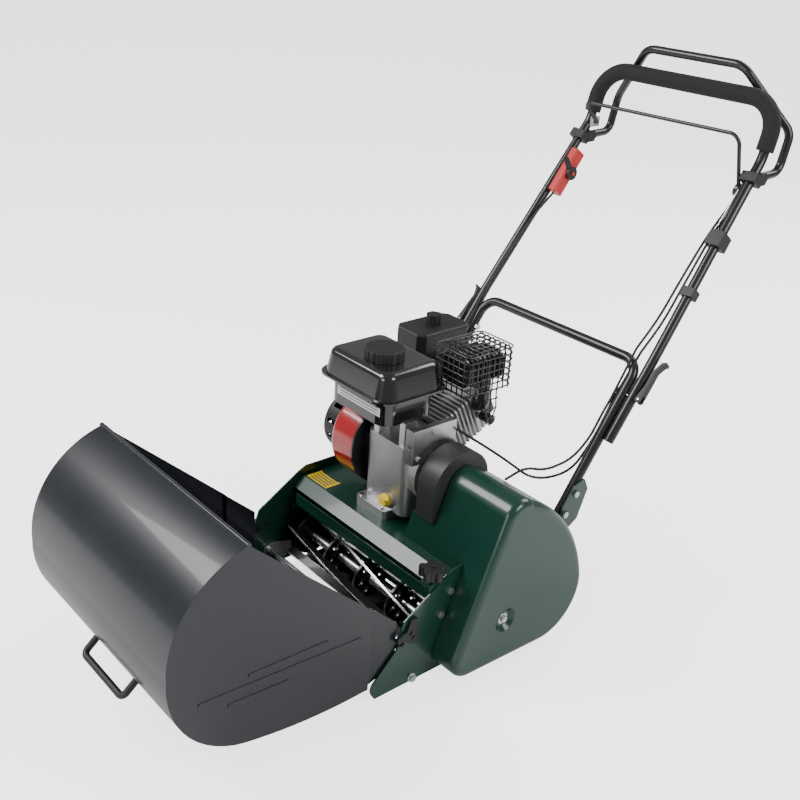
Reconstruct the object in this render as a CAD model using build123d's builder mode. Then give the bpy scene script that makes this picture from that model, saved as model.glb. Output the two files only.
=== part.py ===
from build123d import *
import math
import os

os.makedirs("parts", exist_ok=True)

# Walk-behind reel mower with a rear roller, a front grass box and a small petrol engine.
# Millimetres. +Z up, +Y towards the person who walks behind, +X the drive side.
# The origin is on the ground, on the middle plane, straight below the rear roller's axle.

# ---- overall sizes ----
cut_width = 406.0              # width of cut, the length of the reel
grip_height = 941.0            # centre of the grip bar above the ground
box_lip_height = 417.0         # top of the grass box
box_reach = 596.0              # lip of the grass box in front of the roller axle

# ---- fits and sheet sizes ----
run_fit = 0.06                 # radial clearance of a shaft in a bearing
hole_fit = 0.15                # radial clearance of a bolt in its hole
air = 0.4                      # gap between neighbours that move past each other
plate_t = 3.0
deck_t = 2.5
cover_t = 2.0
box_t = 1.6

# ---- rollers, reel and blade ----
roller_r = 75.0
roller_wall = 4.0
roller_axle_r = 10.0
reel_y = -180.0
reel_z = 72.0
reel_r = 60.0
reel_core_r = 42.0
reel_shaft_r = 10.0
blade_t = 4.0
blade_count = 6
blade_turn = 62.0              # helix angle that one blade winds over the reel's length
front_y = -262.0
front_r = 22.0
front_axle_r = 5.0

# ---- drive ----
crank_y = -88.0
crank_z = 302.0
output_r = 9.0
reel_chain_gap = 19.0          # side plate to the middle of the reel's chain
chain_spacing = 18.0           # between the two chains

# ---- heights and widths that follow ----
half = cut_width / 2
plate_in = half + 11
plate_out = plate_in + plate_t
deck_z = 196.0
plate_top = 214.0
cover_out = plate_out + 59
seam_x = plate_out + 1
reel_chain_x = plate_out + reel_chain_gap
roller_chain_x = reel_chain_x + chain_spacing
bolt_r = 4.0
head_r = 6.8
head_h = 5.0

# ---- handle ----
tube_r = 9.8
tube_wall = 1.5
tube_bore = tube_r - tube_wall
leg_x = plate_in - plate_t - tube_r - 0.2
upper_x = leg_x + 2 * tube_r + 1.4
grip_x = leg_x + 6.8
cross_y = 275.0
cross_z = 484.0
leg_slope = 1.5
foot_z = 205.0
pivot_z = 430.0
foam_r = 16.5


def leg_y(z):
    """Depth of the lower handle's leg at height z."""
    return cross_y + (z - cross_z) / leg_slope


def facing(x, y, z, side):
    """A plane square to X whose normal points to +X or -X."""
    return Plane(origin=(x, y, z), x_dir=(0, 1, 0), z_dir=(side, 0, 0))


def bent_bar(points, radii, outer, bore=0.0):
    """A round bar or tube along straight runs joined by tangent arcs."""
    with BuildPart() as bar:
        with BuildLine() as path:
            FilletPolyline(*points, radius=radii)
        with BuildSketch(Plane(origin=path.line @ 0, z_dir=path.line % 0)):
            Circle(outer)
            if bore > 0:
                Circle(bore, mode=Mode.SUBTRACT)
        sweep(path=path.line)
    return bar.part


def mirrored(points):
    """Points of the +X half followed by their mirror images."""
    return points + [(-x, y, z) for x, y, z in reversed(points)]


# ---- side plates ----
plate_outline = [
    (-343, 14),
    (-358, 38),
    (-299, 98),
    (-299, 116),
    (-288, 148),
    (-197, 205),
    (-178, plate_top),
    (24, plate_top),
    (62, 150),
    (54, 62),
    (26, 36),
    (-95, 36),
    (-125, 14),
]
deck_bolts = [(-187, 172), (-95, 182), (5, 182)]
deflector_bolts = [(-205, 130), (-152, 150)]
blade_bolts = [(-129, 20)]
bracket_bolts = [(38, 190), (48, 165)]
plate_bolts = deck_bolts + deflector_bolts + blade_bolts + bracket_bolts
knob_y = -221.0
knob_x = plate_in - 9.0
knob_z = 208.0
screw_r = 4.0
latch_y = -268.0
latch_z = 112.0
latch_pin_r = 4.0
hang_y = -292.0
hang_z = 107.0
hang_r = 4.0
bearing_r = 17.0
post_y = -102.0
post_z = 108.0

for side, end in ((1, "left"), (-1, "right")):
    with BuildPart() as side_plate:
        with BuildSketch(Plane.YZ.offset(plate_in if side > 0 else -plate_out)) as face:
            with BuildLine():
                Polyline(*plate_outline, close=True)
            make_face()
            fillet(face.vertices().sort_by(Axis.X)[:1], 20)
            with Locations(*plate_bolts):
                Circle(bolt_r + hole_fit, mode=Mode.SUBTRACT)
            with Locations((reel_y, reel_z), (0, roller_r)):
                Circle(bearing_r + run_fit, mode=Mode.SUBTRACT)
            with Locations((front_y, front_r / 2)):
                Rectangle(2 * bolt_r + 1.5, front_r + 2 * bolt_r + 1.5, mode=Mode.SUBTRACT)
            with Locations((hang_y - 6, hang_z)):
                Rectangle(20, 2 * hang_r + 1.5, mode=Mode.SUBTRACT)
            with Locations((latch_y, latch_z)):
                Circle(latch_pin_r + run_fit, mode=Mode.SUBTRACT)
        extrude(amount=plate_t)
    side_plate.part.label = f"side_plate_{end}"
    export_step(side_plate.part, f"parts/side_plate_{end}.step")

# ---- engine deck: one folded sheet between the plates, with side flanges ----
deck_half = plate_in
deck_front = -186.0
deck_back = 30.0
lip_y = -208.0
lip_z = 177.0
flange_z = deck_z - 22.0
with BuildPart() as engine_deck:
    with BuildSketch(Plane.YZ.offset(-deck_half)):
        with BuildLine():
            Polyline(
                (deck_back, deck_z),
                (deck_front, deck_z),
                (lip_y, lip_z),
                (lip_y + 2, lip_z - 2),
                (deck_front + 1, deck_z - deck_t),
                (deck_back, deck_z - deck_t),
                close=True,
            )
        make_face()
    extrude(amount=2 * deck_half)
    for side in (1, -1):
        with BuildSketch(Plane.YZ.offset(deck_half - deck_t if side > 0 else -deck_half)):
            with BuildLine():
                Polyline(
                    (deck_back, deck_z),
                    (deck_front, deck_z),
                    (lip_y + 2, lip_z + 1),
                    (deck_front - 14, flange_z - 10),
                    (deck_front + 10, flange_z - 10),
                    (deck_front + 18, flange_z),
                    (deck_back, flange_z),
                    close=True,
                )
            make_face()
            with Locations(*deck_bolts):
                Circle(bolt_r + hole_fit, mode=Mode.SUBTRACT)
        extrude(amount=deck_t)
    with BuildSketch(Plane.XY.offset(deck_z - deck_t)):
        with Locations((-half + 170, crank_y + 70), (-half + 170, crank_y - 48)):
            Circle(3.0)
    extrude(amount=deck_t, mode=Mode.SUBTRACT)
engine_deck.part.label = "engine_deck"
export_step(engine_deck.part, "parts/engine_deck.step")

# ---- deflector: a lip in front and a sheet that wraps round behind the reel ----
wrap_r = reel_r + 6.0
wrap_mid = math.radians(50)
wrap_end = math.radians(-32)
wrap_start = math.radians(112)


def round_reel(radius, angle):
    """Point on a circle round the reel's axis, at an angle from +Y."""
    return (reel_y + radius * math.cos(angle), reel_z + radius * math.sin(angle))


with BuildPart() as deflector_plate:
    with BuildSketch(Plane.YZ.offset(-plate_in)):
        with BuildLine():
            Polyline(
                (-216, 174),
                (-216, 150),
                round_reel(wrap_r, wrap_start),
            )
            ThreePointArc(
                round_reel(wrap_r, wrap_start),
                round_reel(wrap_r, wrap_mid),
                round_reel(wrap_r, wrap_end),
            )
            Line(round_reel(wrap_r, wrap_end), round_reel(wrap_r + cover_t, wrap_end))
            ThreePointArc(
                round_reel(wrap_r + cover_t, wrap_end),
                round_reel(wrap_r + cover_t, wrap_mid),
                round_reel(wrap_r + cover_t, wrap_start),
            )
            Polyline(
                round_reel(wrap_r + cover_t, wrap_start),
                (-216 + cover_t, 151),
                (-216 + cover_t, 174),
                (-216, 174),
            )
        make_face()
    extrude(amount=2 * plate_in)
    with BuildSketch(Plane.XY.offset(190)):
        for side in (1, -1):
            with Locations((side * (knob_x + 3), knob_y + 5)):
                Rectangle(30, 16)
    extrude(amount=-60, mode=Mode.SUBTRACT)
deflector_plate.part.label = "deflector_plate"
export_step(deflector_plate.part, "parts/deflector_plate.step")

# ---- bottom blade, the bar that carries it and the stay above the rear roller ----
blade_gap = 0.3
stay_r = 6.0
with BuildPart() as bottom_blade:
    with BuildSketch(Plane.YZ.offset(-half)):
        with BuildLine():
            Polyline(
                (reel_y - 2, reel_z - reel_r - blade_gap),
                (-120, reel_z - reel_r - blade_gap),
                (-120, reel_z - reel_r - blade_gap - 3),
                (reel_y + 4, reel_z - reel_r - blade_gap - 3),
                close=True,
            )
        make_face()
    extrude(amount=2 * half)
    with BuildSketch(Plane.YZ.offset(-plate_in)):
        with Locations((blade_bolts[0][0], blade_bolts[0][1] - 0.15)):
            Rectangle(18, 16)
        with Locations(blade_bolts[0]):
            Circle(bolt_r + hole_fit, mode=Mode.SUBTRACT)
    extrude(amount=2 * plate_in)
    with BuildSketch(Plane.YZ.offset(-plate_in)):
        with Locations((15, 162)):
            Circle(stay_r)
    extrude(amount=2 * plate_in)
bottom_blade.part.label = "bottom_blade"
export_step(bottom_blade.part, "parts/bottom_blade.step")

# ---- handle brackets, bolted inside the plates ----
foot_bolt_z = 222.0
head_bolt_z = 258.0
bracket_holes = [(leg_y(foot_bolt_z), foot_bolt_z), (leg_y(head_bolt_z), head_bolt_z)]
with BuildPart() as handle_brackets:
    for side in (1, -1):
        with BuildSketch(Plane.YZ.offset(plate_in - plate_t if side > 0 else -plate_in)) as face:
            with BuildLine():
                Polyline(
                    (32, 156),
                    (32, 193),
                    (86, 194),
                    (92, 238),
                    (120, 276),
                    (146, 284),
                    (160, 258),
                    (140, 200),
                    (62, 152),
                    close=True,
                )
            make_face()
            fillet(face.vertices(), 6)
            with Locations(*bracket_holes):
                Circle(bolt_r + hole_fit, mode=Mode.SUBTRACT)
            with Locations(*bracket_bolts):
                Circle(bolt_r + hole_fit, mode=Mode.SUBTRACT)
        extrude(amount=plate_t)
    with BuildSketch(Plane.XY.offset(knob_z - 10 - air - 3)):
        with Locations(((knob_x - 14 + plate_in) / 2, knob_y)):
            Rectangle(plate_in - knob_x + 14, 26)
        with Locations((knob_x, knob_y)):
            Circle(screw_r + run_fit, mode=Mode.SUBTRACT)
    extrude(amount=3)
    with BuildSketch(Plane.YZ.offset(plate_in - 3)):
        with Locations((knob_y, knob_z - 10 - air - 14)):
            Rectangle(26, 22)
    extrude(amount=3)
handle_brackets.part.label = "handle_brackets"
export_step(handle_brackets.part, "parts/handle_brackets.step")

# ---- reel: shaft, spiders and helical blades ----
reel_half = half - 7.0
spider_t = 5.0
spider_count = 5
sprocket_t = 5.0
reel_sprocket_r = 16.0
with BuildPart() as reel_shaft:
    with BuildSketch(Plane.YZ.offset(-plate_out - 5)):
        with Locations((reel_y, reel_z)):
            Circle(reel_shaft_r)
    extrude(amount=reel_chain_x + 10 + plate_out + 5)
    with BuildSketch(Plane.YZ.offset(reel_chain_x - sprocket_t / 2)):
        with Locations((reel_y, reel_z)):
            Circle(reel_sprocket_r)
            Circle(reel_shaft_r, mode=Mode.SUBTRACT)
    extrude(amount=sprocket_t)
reel_shaft.part.label = "reel_shaft"
export_step(reel_shaft.part, "parts/reel_shaft.step")

spider_pitch = (2 * reel_half - 2 * 8 - spider_t) / (spider_count - 1)
with BuildPart() as reel_spiders:
    for i in range(spider_count):
        with BuildSketch(Plane.YZ.offset(-reel_half + 8 + i * spider_pitch)):
            with Locations((reel_y, reel_z)):
                Circle(reel_core_r - 0.1)
                Circle(reel_shaft_r, mode=Mode.SUBTRACT)
                with PolarLocations(reel_core_r * 0.6, 6):
                    Circle(7, mode=Mode.SUBTRACT)
        extrude(amount=spider_t)
reel_spiders.part.label = "reel_spiders"
export_step(reel_spiders.part, "parts/reel_spiders.step")

blade_steps = 10
with BuildPart() as reel_blades:
    for k in range(blade_count):
        with BuildPart(mode=Mode.PRIVATE) as blade:
            for i in range(blade_steps + 1):
                share = i / blade_steps
                turn = 360 / blade_count * k + blade_turn * (share - 0.5)
                along = -reel_half + 2 * reel_half * share
                with BuildSketch(Plane.YZ.offset(along)):
                    with Locations(Location((reel_y, reel_z), turn)):
                        with Locations(((reel_core_r + reel_r) / 2, 0)):
                            Rectangle(reel_r - reel_core_r, blade_t)
            loft()
        add(blade.part)
reel_blades.part.label = "reel_blades"
export_step(reel_blades.part, "parts/reel_blades.step")

# ---- bearings in the side plates, for the reel and the rear roller ----
with BuildPart() as plate_bearings:
    for side in (1, -1):
        for centre, bore in (((reel_y, reel_z), reel_shaft_r), ((0, roller_r), roller_axle_r)):
            start = plate_in - 3 if side > 0 else -plate_out - 3
            with BuildSketch(Plane.YZ.offset(start)):
                with Locations(centre):
                    Circle(bearing_r)
                    Circle(bore + run_fit, mode=Mode.SUBTRACT)
            extrude(amount=plate_t + 6)
plate_bearings.part.label = "plate_bearings"
export_step(plate_bearings.part, "parts/plate_bearings.step")

# ---- rear roller: two drums on one axle ----
drum_end = plate_in - 8.0
drum_gap = 1.0
roller_sprocket_r = 48.0
with BuildPart() as roller_axle:
    with BuildSketch(Plane.YZ.offset(-plate_out - 5)):
        with Locations((0, roller_r)):
            Circle(roller_axle_r)
    extrude(amount=roller_chain_x + 10 + plate_out + 5)
    with BuildSketch(Plane.YZ.offset(roller_chain_x - sprocket_t / 2)):
        with Locations((0, roller_r)):
            Circle(roller_sprocket_r)
            Circle(roller_axle_r, mode=Mode.SUBTRACT)
            with PolarLocations(roller_sprocket_r * 0.6, 5):
                Circle(9, mode=Mode.SUBTRACT)
    extrude(amount=sprocket_t)
roller_axle.part.label = "roller_axle"
export_step(roller_axle.part, "parts/roller_axle.step")

for side, end in ((1, "left"), (-1, "right")):
    with BuildPart() as roller_drum:
        inner = drum_gap if side > 0 else -drum_end
        with BuildSketch(Plane.YZ.offset(inner)):
            with Locations((0, roller_r)):
                Circle(roller_r)
                Circle(roller_r - roller_wall, mode=Mode.SUBTRACT)
        extrude(amount=drum_end - drum_gap)
        for edge_x in (inner, inner + drum_end - drum_gap - 6):
            with BuildSketch(Plane.YZ.offset(edge_x)):
                with Locations((0, roller_r)):
                    Circle(roller_r - roller_wall)
                    Circle(roller_axle_r + run_fit, mode=Mode.SUBTRACT)
            extrude(amount=6)
    roller_drum.part.label = f"roller_drum_{end}"
    export_step(roller_drum.part, f"parts/roller_drum_{end}.step")

# ---- front roller and the carrier that lets it up and down ----
front_half = half - 3.0
carrier_out = plate_in - 1.5
carrier_t = 3.0
carrier_in = carrier_out - carrier_t
nut_z = 44.0
with BuildPart() as front_roller:
    with BuildSketch(Plane.YZ.offset(-front_half)):
        with Locations((front_y, front_r)):
            Circle(front_r)
            Circle(front_axle_r + run_fit, mode=Mode.SUBTRACT)
    extrude(amount=2 * front_half)
    for i in range(8):
        with BuildSketch(Plane.YZ.offset(-front_half + (i + 1) * 2 * front_half / 9 - 3)):
            with Locations((front_y, front_r)):
                Circle(front_r + 1)
                Circle(front_r - 3, mode=Mode.SUBTRACT)
        extrude(amount=6, mode=Mode.SUBTRACT)
front_roller.part.label = "front_roller"
export_step(front_roller.part, "parts/front_roller.step")

with BuildPart() as roller_carrier:
    for side in (1, -1):
        with BuildSketch(Plane.YZ.offset(carrier_in if side > 0 else -carrier_out)) as face:
            with BuildLine():
                Polyline(
                    (front_y - 14, front_r - 14),
                    (front_y - 16, 62),
                    (front_y + 12, 66),
                    (knob_y + 8, 56),
                    (knob_y + 8, nut_z - 8),
                    (front_y + 16, front_r - 12),
                    close=True,
                )
            make_face()
            fillet(face.vertices(), 4)
            with Locations((front_y, front_r)):
                Circle(front_axle_r, mode=Mode.SUBTRACT)
        extrude(amount=carrier_t)
    with BuildSketch(Plane.YZ.offset(-carrier_in)):
        with Locations((front_y - 4, 54)):
            Circle(5)
    extrude(amount=2 * carrier_in)
    with BuildSketch(Plane.XY.offset(nut_z - 5)):
        with Locations(((knob_x - 6 + carrier_in) / 2, knob_y)):
            Rectangle(carrier_in - knob_x + 6, 14)
    extrude(amount=10)
    with BuildSketch(Plane.XY.offset(nut_z - 6)):
        with Locations((knob_x, knob_y)):
            Circle(screw_r + run_fit)
    extrude(amount=12, mode=Mode.SUBTRACT)
    with BuildSketch(Plane.YZ.offset(-carrier_out)):
        with Locations((front_y, front_r)):
            Circle(front_axle_r)
    extrude(amount=2 * carrier_out)
    for side in (1, -1):
        with BuildSketch(facing(side * carrier_out, front_y, front_r, side)):
            Circle(bolt_r)
        extrude(amount=plate_t + 2)
        with BuildSketch(facing(side * (plate_out + 0.5), front_y, front_r, side)):
            Circle(head_r + 2)
        extrude(amount=1.5)
        with BuildSketch(facing(side * (plate_out + 2), front_y, front_r, side)):
            RegularPolygon(head_r, 6)
        extrude(amount=head_h)
roller_carrier.part.label = "roller_carrier"
export_step(roller_carrier.part, "parts/roller_carrier.step")

# ---- height adjuster: star knob and its screw ----
knob_h = 18.0
screw_low = 30.0
with BuildPart() as height_knob:
    with BuildSketch(Plane.XY.offset(knob_z)) as star:
        with Locations((knob_x, knob_y)):
            Circle(16)
            with PolarLocations(17, 5):
                Circle(7)
    extrude(amount=knob_h)
    with BuildSketch(Plane.XY.offset(knob_z - 10)):
        with Locations((knob_x, knob_y)):
            Circle(8)
    extrude(amount=10)
    with BuildSketch(Plane.XY.offset(knob_z - 11)):
        with Locations((knob_x, knob_y)):
            Circle(screw_r)
    extrude(amount=knob_h + 12, mode=Mode.SUBTRACT)
    with BuildSketch(Plane.XY.offset(screw_low)):
        with Locations((knob_x, knob_y)):
            Circle(screw_r)
    extrude(amount=knob_z + knob_h + 3 - screw_low)
height_knob.part.label = "height_knob"
export_step(height_knob.part, "parts/height_knob.step")

# ---- drive: clutch drum and output shaft, sprockets, chains ----
case_x = 128.0
guard_x = 80.0
guard_out = 125.0
drum_in = 82.0
drum_out = 120.0
drum_r = 50.0
stand_x = half
top_reel_r = 12.0
top_roller_r = 10.0
chain_h = 5.0
chain_w = 8.0
crank = (crank_y, crank_z)

with BuildPart() as output_shaft:
    with BuildSketch(Plane.YZ.offset(drum_in)):
        with Locations(crank):
            Circle(drum_r)
            Circle(drum_r - 4, mode=Mode.SUBTRACT)
    extrude(amount=drum_out - drum_in)
    with BuildSketch(Plane.YZ.offset(drum_out - 4)):
        with Locations(crank):
            Circle(drum_r - 4)
    extrude(amount=4)
    with BuildSketch(Plane.YZ.offset(drum_out)):
        with Locations(crank):
            Circle(output_r)
    extrude(amount=roller_chain_x + 8 - drum_out)
    for chain_x, pitch_r in ((reel_chain_x, top_reel_r), (roller_chain_x, top_roller_r)):
        with BuildSketch(Plane.YZ.offset(chain_x - sprocket_t / 2)):
            with Locations(crank):
                Circle(pitch_r)
                Circle(output_r, mode=Mode.SUBTRACT)
        extrude(amount=sprocket_t)
output_shaft.part.label = "output_shaft"
export_step(output_shaft.part, "parts/output_shaft.step")

with BuildPart() as drive_chains:
    for chain_x, near_r, far_r, far in (
        (reel_chain_x, top_reel_r, reel_sprocket_r, (reel_y, reel_z)),
        (roller_chain_x, top_roller_r, roller_sprocket_r, (0, roller_r)),
    ):
        for grow, how in ((chain_h, Mode.ADD), (0.3, Mode.SUBTRACT)):
            with BuildSketch(Plane.YZ.offset(chain_x - chain_w / 2)):
                with Locations(crank):
                    Circle(near_r + grow)
                with Locations(far):
                    Circle(far_r + grow)
                make_hull()
            extrude(amount=chain_w, mode=how)
drive_chains.part.label = "drive_chains"
export_step(drive_chains.part, "parts/drive_chains.step")

# ---- drive cover: the outer lid and the inner case share one outline ----
top_r = 38.0
toe = (-180.0, 56.0)
toe_r = 36.0
heel = (5.0, 110.0)
heel_r = 97.0


def on_circle(centre, radius, degrees):
    """Point on a circle in the Y-Z plane, angle from +Y."""
    angle = math.radians(degrees)
    return (centre[0] + radius * math.cos(angle), centre[1] + radius * math.sin(angle))


def cover_outline():
    """Rounded triangle round the three sprockets, as a closed wire."""
    front = math.degrees(math.atan2(crank_z - toe[1], crank_y + 2 - toe[0])) + 90
    top = (crank_y + 2, crank_z + 2)
    Line(on_circle(toe, toe_r, front), on_circle(top, top_r, front))
    ThreePointArc(
        on_circle(top, top_r, front), on_circle(top, top_r, 100), on_circle(top, top_r, 50)
    )
    ThreePointArc(on_circle(top, top_r, 50), (35, 258), on_circle(heel, heel_r, 18))
    ThreePointArc(
        on_circle(heel, heel_r, 18), on_circle(heel, heel_r, -36), on_circle(heel, heel_r, -90)
    )
    Line(on_circle(heel, heel_r, -90), on_circle(toe, toe_r, -88))
    ThreePointArc(
        on_circle(toe, toe_r, -88), on_circle(toe, toe_r, 200), on_circle(toe, toe_r, front)
    )


cover_round = 14.0
dimple_r = 24.0
with BuildPart() as cover_space:
    with BuildSketch(Plane.YZ.offset(seam_x - 1)):
        with BuildLine():
            cover_outline()
        make_face()
        offset(amount=-cover_t)
    extrude(amount=cover_out - cover_t - seam_x + 1)
    fillet(cover_space.faces().sort_by(Axis.X)[-1].edges(), cover_round - cover_t)

with BuildPart() as drive_cover:
    with BuildSketch(Plane.YZ.offset(seam_x)):
        with BuildLine():
            cover_outline()
        make_face()
    extrude(amount=cover_out - seam_x)
    fillet(drive_cover.faces().sort_by(Axis.X)[-1].edges(), cover_round)
    add(cover_space.part, mode=Mode.SUBTRACT)
    with BuildSketch(Plane.YZ.offset(cover_out - cover_t - 8)):
        with Locations((post_y, post_z)):
            Circle(dimple_r + 2)
    extrude(amount=cover_t + 7)
    with BuildSketch(Plane.YZ.offset(cover_out)):
        with Locations((post_y, post_z)):
            Circle(dimple_r)
    extrude(amount=-8, taper=45, mode=Mode.SUBTRACT)
    with BuildSketch(Plane.YZ.offset(cover_out)):
        with Locations((post_y, post_z)):
            Circle(bolt_r + hole_fit)
    extrude(amount=-20, mode=Mode.SUBTRACT)
drive_cover.part.label = "drive_cover"
export_step(drive_cover.part, "parts/drive_cover.step")

low_top = 244.0
low_in = 69.0
with BuildPart() as chain_case:
    with BuildSketch(Plane.YZ.offset(case_x)):
        with BuildLine():
            cover_outline()
        make_face()
    extrude(amount=seam_x - case_x)
    with BuildSketch(Plane.YZ.offset(case_x + cover_t)):
        with BuildLine():
            cover_outline()
        make_face()
        offset(amount=-cover_t)
    extrude(amount=seam_x - case_x, mode=Mode.SUBTRACT)
    with BuildSketch(Plane.XY.offset(plate_top + air)):
        with Locations(((plate_in + seam_x) / 2, -40)):
            Rectangle(seam_x - plate_in + 1, 400)
    extrude(amount=-300, mode=Mode.SUBTRACT)
    with BuildSketch(Plane.XY.offset(deck_z)):
        with Locations(((low_in + seam_x) / 2, -40)):
            Rectangle(seam_x - low_in + 2, 400)
    extrude(amount=-300, mode=Mode.SUBTRACT)
    with BuildSketch(Plane.YZ.offset(low_in)):
        with BuildLine():
            Polyline(
                (-166, deck_z),
                (-148, low_top),
                (-8, low_top),
                (-8, deck_z),
                close=True,
            )
        make_face()
    extrude(amount=case_x - low_in)
    with BuildSketch(Plane.YZ.offset(low_in + cover_t)):
        with BuildLine():
            Polyline(
                (-163, deck_z - 1),
                (-146, low_top - cover_t),
                (-8 - cover_t, low_top - cover_t),
                (-8 - cover_t, deck_z - 1),
                close=True,
            )
        make_face()
    extrude(amount=case_x - low_in - cover_t, mode=Mode.SUBTRACT)
    with BuildSketch(Plane.YZ.offset(case_x - 1)):
        with Locations(crank):
            Circle(output_r + 2)
    extrude(amount=4, mode=Mode.SUBTRACT)
chain_case.part.label = "chain_case"
export_step(chain_case.part, "parts/chain_case.step")

guard_r = 65.0
guard_t = 2.5
with BuildPart() as clutch_guard:
    with BuildSketch(Plane.YZ.offset(guard_x)):
        with Locations(crank):
            Circle(guard_r)
        with Locations((crank_y, (crank_z + low_top) / 2)):
            Rectangle(2 * guard_r, crank_z - low_top)
    extrude(amount=guard_out - guard_x)
    with BuildSketch(Plane.YZ.offset(guard_x)):
        with Locations(crank):
            Circle(guard_r - guard_t)
        with Locations((crank_y, (crank_z + low_top) / 2)):
            Rectangle(2 * (guard_r - guard_t), crank_z - low_top)
    extrude(amount=guard_out - guard_x - guard_t, mode=Mode.SUBTRACT)
    with BuildSketch(Plane.YZ.offset(guard_out - guard_t)):
        with Locations(crank):
            Circle(output_r + 2)
    extrude(amount=guard_t, mode=Mode.SUBTRACT)
    with BuildSketch(Plane.XY.offset(low_top)):
        with Locations(((guard_x + guard_out) / 2, crank_y)):
            Rectangle(guard_out - guard_x, 2 * guard_r)
    extrude(amount=-guard_r, mode=Mode.SUBTRACT)
clutch_guard.part.label = "clutch_guard"
export_step(clutch_guard.part, "parts/clutch_guard.step")

# ---- engine: crankcase, crank, cylinder ----
pto_x = 66.0
case_left = -70.0
case_right = 46.0
case_front = -150.0
case_rear = -22.0
case_top = 352.0
bore_x = -28.0
tilt = math.radians(25)
cylinder_axis = (0, math.cos(tilt), math.sin(tilt))
crank_r = 12.5
web_r = 40.0
cavity_r = 46.0
block_w = 100.0
case_reach = 62.0
foot_lip = 15.0


def on_cylinder(reach):
    """Plane square to the cylinder's axis, this far from the crank."""
    return Plane(
        origin=(bore_x, crank_y + reach * cylinder_axis[1], crank_z + reach * cylinder_axis[2]),
        x_dir=(1, 0, 0),
        z_dir=cylinder_axis,
    )


stick_at = Plane(origin=(8, -160, 238), x_dir=(1, 0, 0), z_dir=(0, -0.86, 0.51))
with BuildPart() as crankcase:
    with BuildSketch(Plane.XY.offset(deck_z)) as foot:
        with Locations(((case_left + 5) / 2, (case_front + case_rear) / 2)):
            Rectangle(-case_left + 15, case_rear - case_front + 2 * foot_lip)
        fillet(foot.vertices(), 8)
    extrude(amount=18)
    with BuildSketch(Plane.XY.offset(deck_z + 18)) as body:
        with Locations(((case_left + case_right) / 2, (case_front + case_rear) / 2)):
            Rectangle(case_right - case_left, case_rear - case_front)
        fillet(body.vertices(), 16)
    extrude(amount=case_top - deck_z - 18)
    with BuildSketch(Plane.YZ.offset(case_right)):
        with Locations(crank):
            Circle(60)
    extrude(amount=pto_x - case_right)
    with BuildSketch(stick_at.offset(-40)):
        Circle(12)
    extrude(amount=38)
    with BuildSketch(on_cylinder(case_reach)):
        Rectangle(400, 400)
    extrude(amount=120, mode=Mode.SUBTRACT)
    with BuildSketch(Plane.YZ.offset(case_left + 8)):
        with Locations(crank):
            Circle(cavity_r)
    extrude(amount=case_right - case_left - 16, mode=Mode.SUBTRACT)
    with BuildSketch(Plane.YZ.offset(case_left - 1)):
        with Locations(crank):
            Circle(crank_r + run_fit)
    extrude(amount=pto_x - case_left + 2, mode=Mode.SUBTRACT)
    with BuildSketch(stick_at):
        Circle(4.5 + hole_fit)
    extrude(amount=-60, mode=Mode.SUBTRACT)
crankcase.part.label = "crankcase"
export_step(crankcase.part, "parts/crankcase.step")

fly_x = -118.0
fly_t = 18.0
fly_r = 76.0
shoe_t = 18.0
stub_r = 9.5
with BuildPart() as clutch_shoes:
    with BuildSketch(Plane.YZ.offset(drum_in + 4)):
        with Locations(crank):
            Circle(20)
            Circle(stub_r, mode=Mode.SUBTRACT)
    extrude(amount=26)
    with BuildSketch(Plane.YZ.offset(drum_in + 8)):
        for k in range(3):
            with Locations(Location(crank, 120 * k)):
                with Locations((31, 0)):
                    Rectangle(24, 44)
        with Locations(crank):
            Circle(drum_r - 5.5, mode=Mode.INTERSECT)
            Circle(stub_r, mode=Mode.SUBTRACT)
    extrude(amount=shoe_t)

with BuildPart() as crankshaft:
    with BuildSketch(Plane.YZ.offset(fly_x)):
        with Locations(crank):
            Circle(crank_r)
    extrude(amount=bore_x - 9 - fly_x)
    with BuildSketch(Plane.YZ.offset(bore_x + 9)):
        with Locations(crank):
            Circle(crank_r)
    extrude(amount=pto_x - bore_x - 9)
    for web_x in (bore_x - 21, bore_x + 9):
        with BuildSketch(Plane.YZ.offset(web_x)):
            with Locations(crank):
                Circle(web_r)
        extrude(amount=12)
    with BuildSketch(Plane.YZ.offset(bore_x - 9)):
        with Locations((crank_y, crank_z + 24)):
            Circle(11)
    extrude(amount=18)
    with BuildSketch(Plane.YZ.offset(pto_x)):
        with Locations(crank):
            Circle(stub_r)
    extrude(amount=drum_out - 6 - pto_x)
    add(clutch_shoes.part)
crankshaft.part.label = "crankshaft"
export_step(crankshaft.part, "parts/crankshaft.step")

with BuildPart() as flywheel:
    with BuildSketch(Plane.YZ.offset(fly_x)):
        with Locations(crank):
            Circle(fly_r)
            Circle(crank_r, mode=Mode.SUBTRACT)
    extrude(amount=fly_t)
    for k in range(16):
        with BuildSketch(Plane.YZ.offset(fly_x - 12)):
            with Locations(Location(crank, 360 / 16 * k)):
                with Locations((58, 0)):
                    Rectangle(26, 3)
        extrude(amount=12)
flywheel.part.label = "flywheel"
export_step(flywheel.part, "parts/flywheel.step")

barrel_len = 76.0
fin_pitch = 9.5
with BuildPart() as cylinder_block:
    with BuildSketch(on_cylinder(case_reach)):
        Circle(38)
        Circle(30, mode=Mode.SUBTRACT)
    extrude(amount=barrel_len)
    for i in range(8):
        with BuildSketch(on_cylinder(case_reach + i * fin_pitch)) as fin:
            Rectangle(block_w, block_w - 8)
            fillet(fin.vertices(), 8)
            Circle(30, mode=Mode.SUBTRACT)
        extrude(amount=3)
cylinder_block.part.label = "cylinder_block"
export_step(cylinder_block.part, "parts/cylinder_block.step")

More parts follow.
